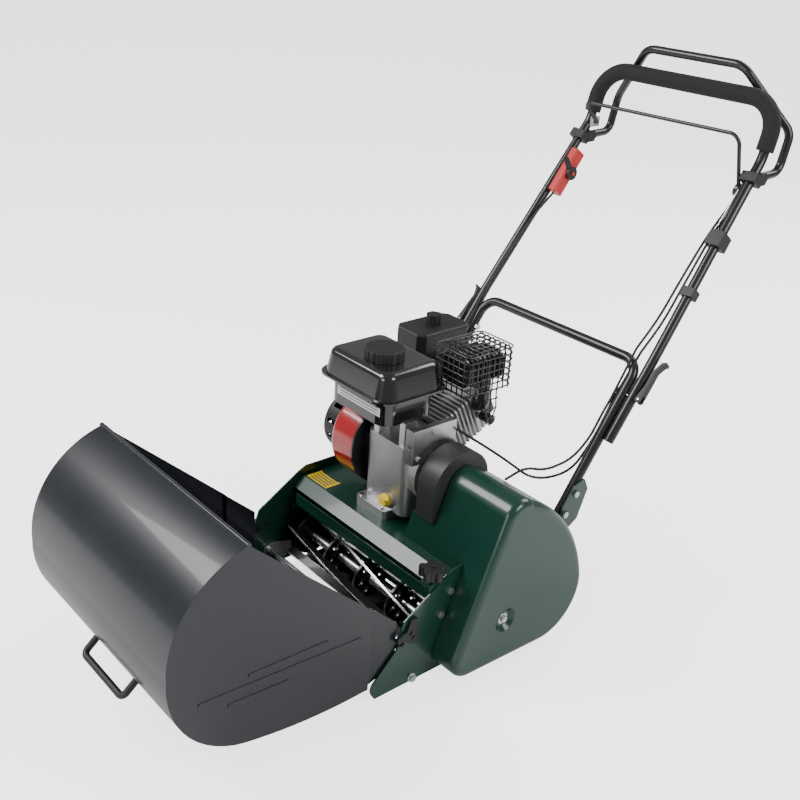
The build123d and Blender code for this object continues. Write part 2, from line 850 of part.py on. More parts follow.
head_reach = case_reach + barrel_len
head_len = 34.0
plug_y = 46.0
plug_z = 366.0
with BuildPart() as rocker_cover:
    with BuildSketch(on_cylinder(head_reach + head_len)) as lid:
        Rectangle(84, 70)
        fillet(lid.vertices(), 10)
    extrude(amount=22)
    lid_end = rocker_cover.faces().sort_by(Axis(origin=(0, 0, 0), direction=cylinder_axis))[-1]
    fillet(lid_end.edges(), 5)

with BuildPart() as cylinder_head:
    with BuildSketch(on_cylinder(head_reach)) as cap:
        Rectangle(block_w, block_w - 8)
        fillet(cap.vertices(), 8)
    extrude(amount=8)
    with BuildSketch(on_cylinder(head_reach + 8)) as neck:
        Rectangle(70, 62)
    extrude(amount=head_len - 8)
    for i in range(2):
        with BuildSketch(on_cylinder(head_reach + 14 + i * 9)) as fin:
            Rectangle(block_w, block_w - 12)
            fillet(fin.vertices(), 8)
        extrude(amount=3)
    with BuildSketch(Plane(origin=(bore_x + 35, plug_y, plug_z), z_dir=(1, 0, 0))):
        Circle(9.5)
    extrude(amount=20, mode=Mode.SUBTRACT)
    add(rocker_cover.part)
cylinder_head.part.label = "cylinder_head"
export_step(cylinder_head.part, "parts/cylinder_head.step")

with BuildPart() as spark_plug:
    with BuildSketch(Plane(origin=(bore_x + 35, plug_y, plug_z), z_dir=(1, 0, 0))):
        Circle(6)
    extrude(amount=24)
    with BuildSketch(Plane(origin=(bore_x + 59, plug_y, plug_z), z_dir=(1, 0, 0))):
        Circle(9)
    extrude(amount=26)
spark_plug.part.label = "spark_plug"
export_step(spark_plug.part, "parts/spark_plug.step")

# ---- engine: cooling shroud, recoil starter ----
shroud_in = -84.0
shroud_out = -150.0
shroud_r = 86.0
shroud_t = 2.5
cup_r = 62.0
cup_out = -204.0


def shroud_outline(grow):
    """Round the flywheel, drawn out over the cylinder, as a filled sketch."""
    with Locations(crank):
        Circle(shroud_r + grow)
    with Locations((30, 345)):
        Circle(52 + grow)
    make_hull()


with BuildPart() as blower_housing:
    with BuildSketch(Plane.YZ.offset(shroud_out)):
        shroud_outline(0)
    extrude(amount=shroud_in - shroud_out)
    fillet(blower_housing.faces().sort_by(Axis.X)[0].edges(), 12)
    with BuildSketch(Plane.YZ.offset(shroud_out + shroud_t)):
        shroud_outline(-shroud_t)
    extrude(amount=shroud_in - shroud_out, mode=Mode.SUBTRACT)
    with BuildSketch(Plane.YZ.offset(shroud_out)):
        with Locations(crank):
            Circle(cup_r - 6)
    extrude(amount=shroud_t, mode=Mode.SUBTRACT)
blower_housing.part.label = "blower_housing"
export_step(blower_housing.part, "parts/blower_housing.step")

with BuildPart() as back_plate:
    with BuildSketch(Plane.YZ.offset(shroud_in)):
        shroud_outline(0)
    extrude(amount=4)
    with BuildSketch(Plane.YZ.offset(shroud_in)):
        with Locations(crank):
            Circle(cavity_r)
        with Locations((34, 352)):
            Circle(34)
    extrude(amount=4, mode=Mode.SUBTRACT)
    with BuildSketch(Plane.YZ.offset(shroud_in + 4)):
        with Locations(crank):
            Circle(cavity_r + 10)
            Circle(cavity_r, mode=Mode.SUBTRACT)
    extrude(amount=case_left - shroud_in - 4)
back_plate.part.label = "back_plate"
export_step(back_plate.part, "parts/back_plate.step")

slot_count = 12
pulley_x = cup_out + 8
with BuildPart() as recoil_cup:
    with BuildSketch(Plane.YZ.offset(cup_out)):
        with Locations(crank):
            Circle(cup_r)
    extrude(amount=shroud_out - cup_out)
    fillet(recoil_cup.faces().sort_by(Axis.X)[0].edges(), 8)
    with BuildSketch(Plane.YZ.offset(cup_out + 3)):
        with Locations(crank):
            Circle(cup_r - 3)
    extrude(amount=shroud_out - cup_out, mode=Mode.SUBTRACT)
    with BuildSketch(Plane.YZ.offset(cup_out)):
        for k in range(slot_count):
            with Locations(Location(crank, 360 / slot_count * k)):
                with Locations((38, 0)):
                    SlotOverall(30, 7)
    extrude(amount=4, mode=Mode.SUBTRACT)
    for k in range(slot_count):
        with BuildSketch(Plane.YZ.offset(cup_out + 14)):
            with Locations(Location(crank, 360 / slot_count * (k + 0.5))):
                with Locations((cup_r, 0)):
                    Rectangle(12, 9)
        extrude(amount=28, mode=Mode.SUBTRACT)
    with BuildSketch(Plane.YZ.offset(pulley_x)):
        with Locations(crank):
            Circle(46)
            Circle(6, mode=Mode.SUBTRACT)
    extrude(amount=14)
    with BuildSketch(Plane.YZ.offset(cup_out + 3)):
        with Locations(crank):
            Circle(6)
    extrude(amount=22)
recoil_cup.part.label = "recoil_cup"
export_step(recoil_cup.part, "parts/recoil_cup.step")

grip_at = Plane(origin=(-184, crank_y + 44, crank_z + 58), x_dir=(1, 0, 0), z_dir=(0, 0.6, 0.8))
with BuildPart() as starter_grip:
    with BuildSketch(grip_at.offset(1)):
        Circle(6)
    extrude(amount=8)
    with BuildSketch(grip_at.offset(9)):
        SlotOverall(52, 18)
    extrude(amount=14)
    fillet(starter_grip.edges().sort_by(Axis.Z)[-4:], 3)
starter_grip.part.label = "starter_grip"
export_step(starter_grip.part, "parts/starter_grip.step")

# ---- engine: fuel tank and cap ----
tank_x = -57.0
tank_y = -130.0
tank_w = 200.0
tank_d = 160.0
tank_corner = 34.0
tank_low = 398.0
rim_z = 451.0
tank_high = 500.0
tank_wall = 3.0
neck_r = 24.0
cap_r = 36.0
cap_x = -42.0
cap_y = -142.0
with BuildPart() as tank_space:
    with BuildSketch(Plane.XY.offset(tank_low + tank_wall)) as low:
        with Locations((tank_x, tank_y)):
            Rectangle(tank_w - 46, tank_d - 46)
        fillet(low.vertices(), tank_corner - 12)
    extrude(amount=rim_z - tank_low - tank_wall)
    with BuildSketch(Plane.XY.offset(rim_z)) as high:
        with Locations((tank_x, tank_y)):
            Rectangle(tank_w - 24, tank_d - 24)
        fillet(high.vertices(), tank_corner - 6)
    extrude(amount=tank_high - rim_z - tank_wall, taper=12)

with BuildPart() as fuel_tank:
    with BuildSketch(Plane.XY.offset(tank_low)) as low:
        with Locations((tank_x, tank_y)):
            Rectangle(tank_w - 40, tank_d - 40)
        fillet(low.vertices(), tank_corner - 8)
    extrude(amount=rim_z - tank_low - 2)
    with BuildSketch(Plane.XY.offset(rim_z - 2)) as rim:
        with Locations((tank_x, tank_y)):
            Rectangle(tank_w, tank_d)
        fillet(rim.vertices(), tank_corner)
    extrude(amount=4)
    with BuildSketch(Plane.XY.offset(rim_z + 2)) as high:
        with Locations((tank_x, tank_y)):
            Rectangle(tank_w - 14, tank_d - 14)
        fillet(high.vertices(), tank_corner - 4)
    extrude(amount=tank_high - rim_z - 2, taper=12)
    fillet(fuel_tank.faces().sort_by(Axis.Z)[-1].edges(), 14)
    with BuildSketch(Plane.XY.offset(tank_high - 1)):
        with Locations((cap_x, cap_y)):
            Circle(neck_r)
    extrude(amount=9)
    add(tank_space.part, mode=Mode.SUBTRACT)
    with BuildSketch(Plane.XY.offset(tank_high - 10)):
        with Locations((cap_x, cap_y)):
            Circle(neck_r - 4)
    extrude(amount=30, mode=Mode.SUBTRACT)
fuel_tank.part.label = "fuel_tank"
export_step(fuel_tank.part, "parts/fuel_tank.step")

cap_low = tank_high + air
cap_high = 520.0
with BuildPart() as fuel_cap:
    with BuildSketch(Plane.XY.offset(cap_low)):
        with Locations((cap_x, cap_y)):
            Circle(cap_r)
            with PolarLocations(cap_r + 3, 16):
                Circle(5, mode=Mode.SUBTRACT)
    extrude(amount=cap_high - cap_low)
    fillet(fuel_cap.faces().sort_by(Axis.Z)[-1].edges(), 1.5)
    with BuildSketch(Plane.XY.offset(cap_low)):
        with Locations((cap_x, cap_y)):
            Circle(neck_r + 0.3)
    extrude(amount=tank_high + 8 - cap_low + 0.3, mode=Mode.SUBTRACT)
fuel_cap.part.label = "fuel_cap"
export_step(fuel_cap.part, "parts/fuel_cap.step")

# ---- engine: air cleaner and carburettor ----
filter_x = -154.0
filter_y = 78.0
filter_w = 84.0
filter_d = 136.0
filter_low = 426.0
filter_seam = 444.0
filter_top = 482.0
throat_low = 396.0
knob_r = 15.0
with BuildPart() as air_cleaner_base:
    with BuildSketch(Plane.XY.offset(filter_low)) as tray:
        with Locations((filter_x, filter_y)):
            Rectangle(filter_w - 6, filter_d - 6)
        fillet(tray.vertices(), 12)
    extrude(amount=filter_seam - filter_low)
    with BuildSketch(Plane.XY.offset(filter_seam)):
        with Locations((filter_x, filter_y)):
            Circle(4 + run_fit)
    extrude(amount=-10, mode=Mode.SUBTRACT)
    with BuildSketch(Plane.XY.offset(throat_low)) as throat:
        with Locations((-98, 66)):
            Rectangle(40, 34)
        fillet(throat.vertices(), 4)
    extrude(amount=filter_low - throat_low)
air_cleaner_base.part.label = "air_cleaner_base"
export_step(air_cleaner_base.part, "parts/air_cleaner_base.step")

with BuildPart() as air_cleaner_cover:
    with BuildSketch(Plane.XY.offset(filter_seam)) as hood:
        with Locations((filter_x, filter_y)):
            Rectangle(filter_w, filter_d)
        chamfer(hood.vertices(), 14)
    extrude(amount=filter_top - filter_seam)
    fillet(air_cleaner_cover.faces().sort_by(Axis.Z)[-1].edges(), 6)
    with BuildSketch(Plane.XY.offset(filter_seam)):
        with Locations((filter_x, filter_y)):
            Rectangle(filter_w - 20, filter_d - 20)
    extrude(amount=filter_top - filter_seam - 3, mode=Mode.SUBTRACT)
    with BuildSketch(Plane.XY.offset(filter_top)):
        with Locations((filter_x, filter_y)):
            Circle(4 + run_fit)
    extrude(amount=-10, mode=Mode.SUBTRACT)
air_cleaner_cover.part.label = "air_cleaner_cover"
export_step(air_cleaner_cover.part, "parts/air_cleaner_cover.step")

with BuildPart() as air_cleaner_knob:
    with BuildSketch(Plane.XY.offset(filter_top + air)):
        with Locations((filter_x, filter_y)):
            Circle(knob_r)
            with PolarLocations(knob_r + 2, 6):
                Circle(4, mode=Mode.SUBTRACT)
    extrude(amount=20)
    with BuildSketch(Plane.XY.offset(filter_top + air)):
        with Locations((filter_x, filter_y)):
            Circle(4)
    extrude(amount=-(filter_top + air - filter_seam + 9))
air_cleaner_knob.part.label = "air_cleaner_knob"
export_step(air_cleaner_knob.part, "parts/air_cleaner_knob.step")

# ---- engine: muffler on its pipe, and the wire guard ----
muffler_x = (-10.0, 60.0)
muffler_y = (-33.0, 63.0)
muffler_z = (446.0, 502.0)
pipe_r = 11.0
pipe_x = 42.0
pipe_y = 34.0
pipe_z = 388.0
pipe_end = muffler_z[0] + 4
with BuildPart() as muffler:
    with BuildSketch(Plane.XZ.offset(-muffler_y[1])) as can:
        with Locations((sum(muffler_x) / 2, sum(muffler_z) / 2)):
            Rectangle(muffler_x[1] - muffler_x[0] - 8, muffler_z[1] - muffler_z[0] - 8)
        fillet(can.vertices(), 14)
    extrude(amount=muffler_y[1] - muffler_y[0])
    for i in range(9):
        with BuildSketch(Plane.XZ.offset(-muffler_y[1] + 4 + i * 10.5)) as rib:
            with Locations((sum(muffler_x) / 2, sum(muffler_z) / 2)):
                Rectangle(muffler_x[1] - muffler_x[0], muffler_z[1] - muffler_z[0])
            fillet(rib.vertices(), 18)
        extrude(amount=4.5)
    with BuildSketch(Plane.XY.offset(pipe_end)):
        with Locations((pipe_x, pipe_y)):
            Circle(pipe_r)
    extrude(amount=-pipe_r, mode=Mode.SUBTRACT)
    add(
        bent_bar(
            [(bore_x + block_w / 2, pipe_y, pipe_z), (pipe_x, pipe_y, pipe_z), (pipe_x, pipe_y, pipe_end)],
            [18],
            pipe_r,
            pipe_r - 2,
        )
    )
muffler.part.label = "muffler"
export_step(muffler.part, "parts/muffler.step")

wire_r = 1.6
cage_x = (-20.0, 72.0)
cage_y = (-45.0, 75.0)
cage_z = (438.0, 516.0)
with BuildPart() as muffler_guard:
    for i in range(5):
        level = cage_z[0] + i * (cage_z[1] - cage_z[0]) / 4
        with BuildSketch(Plane.XY.offset(level - wire_r)) as ring:
            with Locations((sum(cage_x) / 2, sum(cage_y) / 2)):
                Rectangle(cage_x[1] - cage_x[0], cage_y[1] - cage_y[0])
                Rectangle(
                    cage_x[1] - cage_x[0] - 4 * wire_r,
                    cage_y[1] - cage_y[0] - 4 * wire_r,
                    mode=Mode.SUBTRACT,
                )
        extrude(amount=2 * wire_r)
    with BuildSketch(Plane.XY.offset(cage_z[0])):
        for i in range(7):
            across_y = cage_y[0] + wire_r + i * (cage_y[1] - cage_y[0] - 2 * wire_r) / 6
            with Locations((cage_x[0] + wire_r, across_y), (cage_x[1] - wire_r, across_y)):
                Rectangle(2 * wire_r, 2 * wire_r)
        for i in range(1, 5):
            across_x = cage_x[0] + wire_r + i * (cage_x[1] - cage_x[0] - 2 * wire_r) / 5
            with Locations((across_x, cage_y[0] + wire_r), (across_x, cage_y[1] - wire_r)):
                Rectangle(2 * wire_r, 2 * wire_r)
    extrude(amount=cage_z[1] - cage_z[0])
    with BuildSketch(Plane.XY.offset(cage_z[1] - wire_r)):
        for i in range(1, 6):
            with Locations((sum(cage_x) / 2, cage_y[0] + i * (cage_y[1] - cage_y[0]) / 6)):
                Rectangle(cage_x[1] - cage_x[0], 2 * wire_r)
        for i in range(1, 4):
            with Locations((cage_x[0] + i * (cage_x[1] - cage_x[0]) / 4, sum(cage_y) / 2)):
                Rectangle(2 * wire_r, cage_y[1] - cage_y[0])
    extrude(amount=2 * wire_r)
    with BuildSketch(Plane.YZ.offset(cage_x[1] - 3)):
        with BuildLine():
            Polyline((4, cage_z[0]), (40, cage_z[0]), (44, 372), (32, 362), (22, 372), close=True)
        make_face()
        offset(amount=-4, mode=Mode.SUBTRACT)
    extrude(amount=3)
    with BuildSketch(Plane.XY.offset(muffler_z[1])):
        with Locations((sum(muffler_x) / 2, 0), (sum(muffler_x) / 2, 34)):
            Circle(3)
    extrude(amount=cage_z[1] - muffler_z[1])
muffler_guard.part.label = "muffler_guard"
export_step(muffler_guard.part, "parts/muffler_guard.step")

# ---- plates that hold the output shaft, the cables and the tank; dipstick ----
with BuildPart() as support_plates:
    with BuildSketch(Plane.YZ.offset(stand_x)):
        with BuildLine():
            Polyline(
                (crank_y - 24, deck_z),
                (crank_y - 20, crank_z + 20),
                (crank_y + 20, crank_z + 20),
                (crank_y + 50, deck_z),
                close=True,
            )
        make_face()
        with Locations(crank):
            Circle(bearing_r, mode=Mode.SUBTRACT)
    extrude(amount=3)
    with BuildSketch(Plane.YZ.offset(stand_x - 4)):
        with Locations(crank):
            Circle(bearing_r)
            Circle(output_r + run_fit, mode=Mode.SUBTRACT)
    extrude(amount=11)
    with BuildSketch(Plane.YZ.offset(pto_x)):
        with Locations((-107, 368)):
            Rectangle(100, 67)
    extrude(amount=2)
    with BuildSketch(Plane.XZ.offset(157)):
        with Locations((pto_x - 8, 368)):
            Rectangle(20, 67)
            Circle(4, mode=Mode.SUBTRACT)
    extrude(amount=2)
    with BuildSketch(Plane.XY.offset(400)):
        with Locations((pto_x - 5, -107)):
            Rectangle(12, 100)
    extrude(amount=1.5)
    with BuildSketch(Plane.XY.offset(case_top)):
        with Locations((-48, -132), (22, -132)):
            Rectangle(14, 26)
    extrude(amount=tank_low - case_top)
support_plates.part.label = "support_plates"
export_step(support_plates.part, "parts/support_plates.step")

with BuildPart() as dipstick:
    with BuildSketch(stick_at.offset(-1.6)):
        Circle(12)
        with PolarLocations(13, 10):
            Circle(1.5, mode=Mode.SUBTRACT)
    extrude(amount=10)
    with BuildSketch(stick_at.offset(8)):
        SlotOverall(22, 5)
    extrude(amount=7)
    with BuildSketch(stick_at.offset(-1.6)):
        Circle(4.5)
    extrude(amount=-44)
dipstick.part.label = "dipstick"
export_step(dipstick.part, "parts/dipstick.step")


# ---- fasteners: plate bolts, cover post and its bolt, engine bolts ----
post_end = cover_out - cover_t - 8
foot_bolts = [(case_left + 8, case_front - 9), (-5, case_front - 9)]
foot_bolts += [(case_left + 8, case_rear + 9), (-5, case_rear + 9)]
with BuildPart() as fasteners:
    for side in (1, -1):
        for group, grip in ((deck_bolts + bracket_bolts, plate_t + deck_t), (deflector_bolts, plate_t)):
            seats = [facing(side * plate_out, y, z, side) for y, z in group]
            with BuildSketch(*seats):
                RegularPolygon(head_r, 6)
            extrude(amount=head_h)
            with BuildSketch(*seats):
                Circle(bolt_r)
            extrude(amount=-grip)
        blade_seat = facing(side * plate_out, blade_bolts[0][0], blade_bolts[0][1], side)
        if side < 0:
            with BuildSketch(blade_seat):
                RegularPolygon(head_r, 6)
            extrude(amount=head_h)
        with BuildSketch(blade_seat):
            Circle(bolt_r)
        extrude(amount=-20)
        leg_seats = [facing(side * plate_in, y, z, side) for y, z in bracket_holes]
        with BuildSketch(*leg_seats):
            RegularPolygon(head_r, 6)
        extrude(amount=head_h)
        with BuildSketch(*leg_seats):
            Circle(bolt_r)
        extrude(amount=-(plate_t + 2))
    with BuildSketch(Plane.YZ.offset(plate_out)):
        with Locations((post_y, post_z)):
            RegularPolygon(9, 6)
            Circle(bolt_r, mode=Mode.SUBTRACT)
    extrude(amount=post_end - plate_out)
    with BuildSketch(Plane.YZ.offset(cover_out - 8)):
        with Locations((post_y, post_z)):
            Circle(11)
    extrude(amount=1.5)
    with BuildSketch(Plane.YZ.offset(cover_out - 6.5)):
        with Locations((post_y, post_z)):
            RegularPolygon(head_r, 6)
    extrude(amount=head_h)
    with BuildSketch(Plane.YZ.offset(cover_out - 8)):
        with Locations((post_y, post_z)):
            Circle(bolt_r)
    extrude(amount=-24)
    with BuildSketch(Plane.XY.offset(deck_z + 18)):
        with Locations(*foot_bolts):
            RegularPolygon(4.6, 6)
    extrude(amount=4)
    with BuildSketch(Plane.YZ.offset(pto_x + 2)):
        with Locations((-145, 345), (-112, 392)):
            RegularPolygon(5, 6)
    extrude(amount=4)
fasteners.part.label = "fasteners"
export_step(fasteners.part, "parts/fasteners.step")

# ---- handle: lower and upper tubes, hinged on two clamp bolts ----
pivot_y = leg_y(pivot_z)
pivot_r = 3.0
cam_r = 6.2
cam_x = upper_x + tube_r + 0.4 + cam_r
top_y = 566.0
knee = (upper_x, 290.0, 500.0)
neck = (grip_x, 540.0, 836.0)
leg_points = [(leg_x, leg_y(foot_z), foot_z), (leg_x, cross_y, cross_z)]
with BuildPart() as lower_handle:
    add(bent_bar(mirrored(leg_points), [34, 34], tube_r, tube_bore))
    with BuildSketch(Plane.YZ.offset(-leg_x - 20)):
        with Locations((pivot_y, pivot_z), *bracket_holes):
            Circle(bolt_r + hole_fit)
    extrude(amount=2 * leg_x + 40, mode=Mode.SUBTRACT)
lower_handle.part.label = "lower_handle"
export_step(lower_handle.part, "parts/lower_handle.step")

upper_points = [(upper_x, 187, 352), knee, neck, (grip_x, top_y, grip_height)]
grip_bend = 62.0
with BuildPart() as upper_handle:
    add(bent_bar(mirrored(upper_points), [150, 60, grip_bend, grip_bend, 60, 150], tube_r, tube_bore))
    with BuildSketch(Plane.YZ.offset(-upper_x - 20)):
        with Locations((pivot_y, pivot_z)):
            Circle(pivot_r + run_fit)
    extrude(amount=2 * upper_x + 40, mode=Mode.SUBTRACT)
upper_handle.part.label = "upper_handle"
export_step(upper_handle.part, "parts/upper_handle.step")

foam_start = (grip_x, neck[1] + 4, neck[2] + 4 * (grip_height - neck[2]) / (top_y - neck[1]))
with BuildPart() as foam_grip:
    add(bent_bar(mirrored([foam_start, (grip_x, top_y, grip_height)]), [grip_bend] * 2, foam_r, tube_r))
foam_grip.part.label = "foam_grip"
export_step(foam_grip.part, "parts/foam_grip.step")

lever_way = Vector(0, 53, 61).normalized()
pin_way = Vector(0, 61, -53).normalized()
with BuildPart() as pivot_bolts:
    for side in (1, -1):
        with BuildSketch(facing(side * (leg_x - tube_r - 6), pivot_y, pivot_z, side)):
            RegularPolygon(head_r, 6)
        extrude(amount=5.6)
        with BuildSketch(facing(side * (leg_x - tube_r - 6), pivot_y, pivot_z, side)):
            Circle(pivot_r)
        extrude(amount=cam_x - leg_x + tube_r + 6)
        with BuildSketch(Plane(origin=(side * cam_x, pivot_y, pivot_z), x_dir=lever_way, z_dir=pin_way)):
            Circle(2)
        extrude(amount=7.5, both=True)
pivot_bolts.part.label = "pivot_bolts"
export_step(pivot_bolts.part, "parts/pivot_bolts.step")

for side, end in ((1, "left"), (-1, "right")):
    way = pin_way * side
    with BuildPart() as cam_lever:
        with BuildSketch(Plane(origin=(side * cam_x, pivot_y, pivot_z), x_dir=lever_way, z_dir=way)):
            Circle(cam_r)
            with BuildLine():
                Polyline((0, -6), (34, -2), (62, -3), (80, 3), (84, 11), (79, 12), (75, 7), (60, 2),
                         (34, 4), (0, 6), close=True)
            make_face()
        extrude(amount=8, both=True)
        with BuildSketch(Plane(origin=(side * cam_x, pivot_y, pivot_z), x_dir=lever_way, z_dir=way)):
            Rectangle(18, 18)
        extrude(amount=pivot_r + air, both=True, mode=Mode.SUBTRACT)
        with BuildSketch(Plane(origin=(side * cam_x, pivot_y, pivot_z), x_dir=lever_way, z_dir=way)):
            Circle(2 + run_fit)
        extrude(amount=10, both=True, mode=Mode.SUBTRACT)
    cam_lever.part.label = f"cam_lever_{end}"
    export_step(cam_lever.part, f"parts/cam_lever_{end}.step")

# ---- cables, each split where the handle folds ----
cable_r = 2.5


def run_radii(points):
    """Bend radii that leave a short straight in every run."""
    spots = [Vector(*p) for p in points]
    radii = []
    for before, here, after in zip(spots, spots[1:], spots[2:]):
        run_in = here - before
        run_out = after - here
        half_turn = math.radians(run_in.get_angle(run_out)) / 2
        radii.append(0.45 * min(run_in.length, run_out.length) / math.tan(half_turn))
    return radii


def cable(name, points):
    """A round cable along its points; prints its bend radii and length check."""
    radii = run_radii(points)
    tube = bent_bar(points, radii, cable_r)
    print(name, "radii", [round(r, 1) for r in radii], "volume", round(tube.volume, 1))
    return tube


throttle_upper = [(-190.9, 431, 694), (-202, 392, 650), (-207, 350, 600), (-209, 312, 553), (-207, 272, 505)]
throttle_lower = [(-205, 244, 462), (-202, 214, 424), (-176, 168, 398), (-134, 128, 396), (-98, 85, 405)]
drive_upper = [(197.5, 470, 735), (202, 425, 697), (204, 372, 628), (206, 318, 556), (200, 274, 504)]
drive_lower = [(187.6, 231, 416), (187.4, 214, 385), (188, 186, 342), (178, 147, 280), (140, 90, 262),
               (104, 27, 318), (72, -60, 384)]
clutch_upper = [(194, 500, 766), (194, 432, 706), (196, 372, 636), (198, 314, 562), (193, 268, 510)]
clutch_lower = [(187, 225, 420), (186.6, 205, 392), (187, 176, 346), (182, 137, 312), (172, 80, 302),
                (165, 30, 320), (160, -14, 307)]
with BuildPart() as cables_lower:
    add(cable("throttle_lower", throttle_lower))
    add(cable("drive_lower", drive_lower))
    add(cable("clutch_lower", clutch_lower))
cables_lower.part.label = "cables_lower"
export_step(cables_lower.part, "parts/cables_lower.step")

with BuildPart() as cables_upper:
    add(cable("throttle_upper", throttle_upper))
    add(cable("drive_upper", drive_upper))
    add(cable("clutch_upper", clutch_upper))
cables_upper.part.label = "cables_upper"
export_step(cables_upper.part, "parts/cables_upper.step")

# ---- controls on the upper handle ----
slope = Vector(*neck) - Vector(*knee)


def on_leg(z):
    """Centre of the upper handle's +X leg at height z, between knee and neck."""
    share = (z - knee[2]) / (neck[2] - knee[2])
    return tuple(a + share * (b - a) for a, b in zip(knee, neck))


def leg_plane(z, side):
    """Plane square to the upper handle's leg at height z."""
    x, y, level = on_leg(z)
    return Plane(origin=(side * x, y, level), x_dir=(1, 0, 0), z_dir=(side * slope.X, slope.Y, slope.Z))


bail_r = 8.3
bail_y = 539.5
bail_z = 803.0
eye_r = 8.8
with BuildPart() as drive_bail:
    bail_points = [
        (grip_x, bail_y, bail_z),
        (grip_x, 608, 806),
        (grip_x, 624, 880),
        (112, 572, 992),
    ]
    add(bent_bar(mirrored(bail_points), [25, 35, 40, 40, 35, 25], bail_r))
    for side in (1, -1):
        with BuildSketch(Plane.YZ.offset(side * grip_x - 10)):
            with Locations((bail_y, bail_z)):
                Circle(eye_r)
        extrude(amount=20)
    with BuildSketch(Plane.YZ.offset(-grip_x - 12)):
        with Locations((bail_y, bail_z)):
            Circle(4 + run_fit)
    extrude(amount=2 * grip_x + 24, mode=Mode.SUBTRACT)
drive_bail.part.label = "drive_bail"
export_step(drive_bail.part, "parts/drive_bail.step")

with BuildPart() as handle_clamps:
    for side in (1, -1):
        with BuildSketch(leg_plane(bail_z, side)):
            Rectangle(33, 28)
        extrude(amount=9, both=True)
        with BuildSketch(Plane.YZ.offset(side * grip_x - 15.5)):
            with BuildLine():
                Polyline((bail_y - 18, bail_z - 12), (bail_y - 18, bail_z + 12), (bail_y + 4, bail_z + 11),
                         (bail_y + 11, bail_z), (bail_y + 4, bail_z - 11), close=True)
            make_face()
        extrude(amount=31)
    with BuildSketch(leg_plane(697, 1)):
        Rectangle(30, 34)
    extrude(amount=15, both=True)
    with BuildSketch(leg_plane(607, 1)):
        Rectangle(26, 26)
    extrude(amount=9, both=True)
    for side in (1, -1):
        with BuildSketch(Plane.YZ.offset(side * grip_x - 10.5)):
            with Locations((bail_y, bail_z)):
                Circle(eye_r + 0.6)
            with Locations((bail_y + 10, bail_z)):
                Rectangle(20, 26)
        extrude(amount=21, mode=Mode.SUBTRACT)
        with BuildSketch(leg_plane(700, side)):
            Circle(tube_r)
        extrude(amount=200, both=True, mode=Mode.SUBTRACT)
        with BuildSketch(Plane.YZ.offset(side * grip_x - 15.5)):
            with Locations((bail_y, bail_z)):
                Circle(4)
        extrude(amount=31)
    add(cables_upper.part, mode=Mode.SUBTRACT)
handle_clamps.part.label = "handle_clamps"
export_step(handle_clamps.part, "parts/handle_clamps.step")

hub_at = (187.0, 516.0, 778.0)
hook_at = (-197.0, 538.0, 834.0)
hub_axis = Vector(*hub_at) - Vector(*hook_at)
hub_plane = Plane(origin=hub_at, x_dir=(0, 1, 0), z_dir=hub_axis)
thin_r = 3.75
with BuildPart() as blade_bail:
    add(
        bent_bar(
            [hub_at, (187, 482, 884), (-184, 484, 880), (-184, 537.3, 832.1), hook_at],
            [20, 20, 5],
            thin_r,
        )
    )
    with BuildSketch(hub_plane):
        Circle(13)
    extrude(amount=4, both=True)
    with BuildSketch(hub_plane):
        Circle(4 + run_fit)
    extrude(amount=10, both=True, mode=Mode.SUBTRACT)
blade_bail.part.label = "blade_bail"
export_step(blade_bail.part, "parts/blade_bail.step")

with BuildPart() as control_bracket:
    with BuildSketch(Plane.YZ.offset(197.6)):
        with BuildLine():
            Polyline((446, 716), (472, 716), (530, 784), (496, 784), close=True)
        make_face()
        with Locations((470, 732), (488, 752)):
            Circle(4, mode=Mode.SUBTRACT)
    extrude(amount=2)
    with BuildSketch(hub_plane.offset(-4)):
        Circle(4)
    extrude(amount=15.5)
    with BuildSketch(Plane.YZ.offset(-197.8)):
        with Locations(hook_at[1:]):
            Rectangle(20, 20)
    extrude(amount=9)
    with BuildSketch(Plane(origin=hook_at, x_dir=(0, 1, 0), z_dir=hub_axis)):
        Circle(thin_r + run_fit)
    extrude(amount=20, both=True, mode=Mode.SUBTRACT)
    add(cables_upper.part, mode=Mode.SUBTRACT)
control_bracket.part.label = "control_bracket"
export_step(control_bracket.part, "parts/control_bracket.step")

body_at = Plane(origin=(-189.6, 462, 735), x_dir=(1, 0, 0), z_dir=(0, slope.Y, slope.Z))
with BuildPart() as throttle_body:
    with BuildSketch(body_at.offset(-50)) as box:
        Rectangle(21, 30)
        fillet(box.vertices(), 5)
    extrude(amount=100)
    with BuildSketch(Plane.YZ.offset(-179.1)):
        with Locations((462, 735)):
            Circle(4)
    extrude(amount=10)
throttle_body.part.label = "throttle_body"
export_step(throttle_body.part, "parts/throttle_body.step")

with BuildPart() as throttle_lever:
    with BuildSketch(Plane.YZ.offset(-178.5)):
        with Locations((462, 735)):
            Circle(14)
        with Locations(Location((462, 735), 125)):
            with Locations((24, 0)):
                Rectangle(36, 9)
        with Locations((462, 735)):
            Circle(4 + run_fit, mode=Mode.SUBTRACT)
    extrude(amount=7)
throttle_lever.part.label = "throttle_lever"
export_step(throttle_lever.part, "parts/throttle_lever.step")

# ---- grass box ----
box_x = 220.0
tongue_x = 212.0
joggle_y = -362.0
tongue_end = -300.0
lip = (-box_reach, box_lip_height)
box_ribs = [((-531.5, 168.5), 293, -3.3), ((-523.5, 187.5), 139, -2.0), ((-577, 148), 102, -3.4)]


def box_front():
    """The curved sheet from the lip down to the rear edge of the floor."""
    ThreePointArc(lip, (-690, 358), (-730, 242))
    ThreePointArc((-730, 242), (-700, 133), (-602, 66))
    ThreePointArc((-602, 66), (-519, 52), (-374, 46))
    Line((-374, 46), (joggle_y, 46))


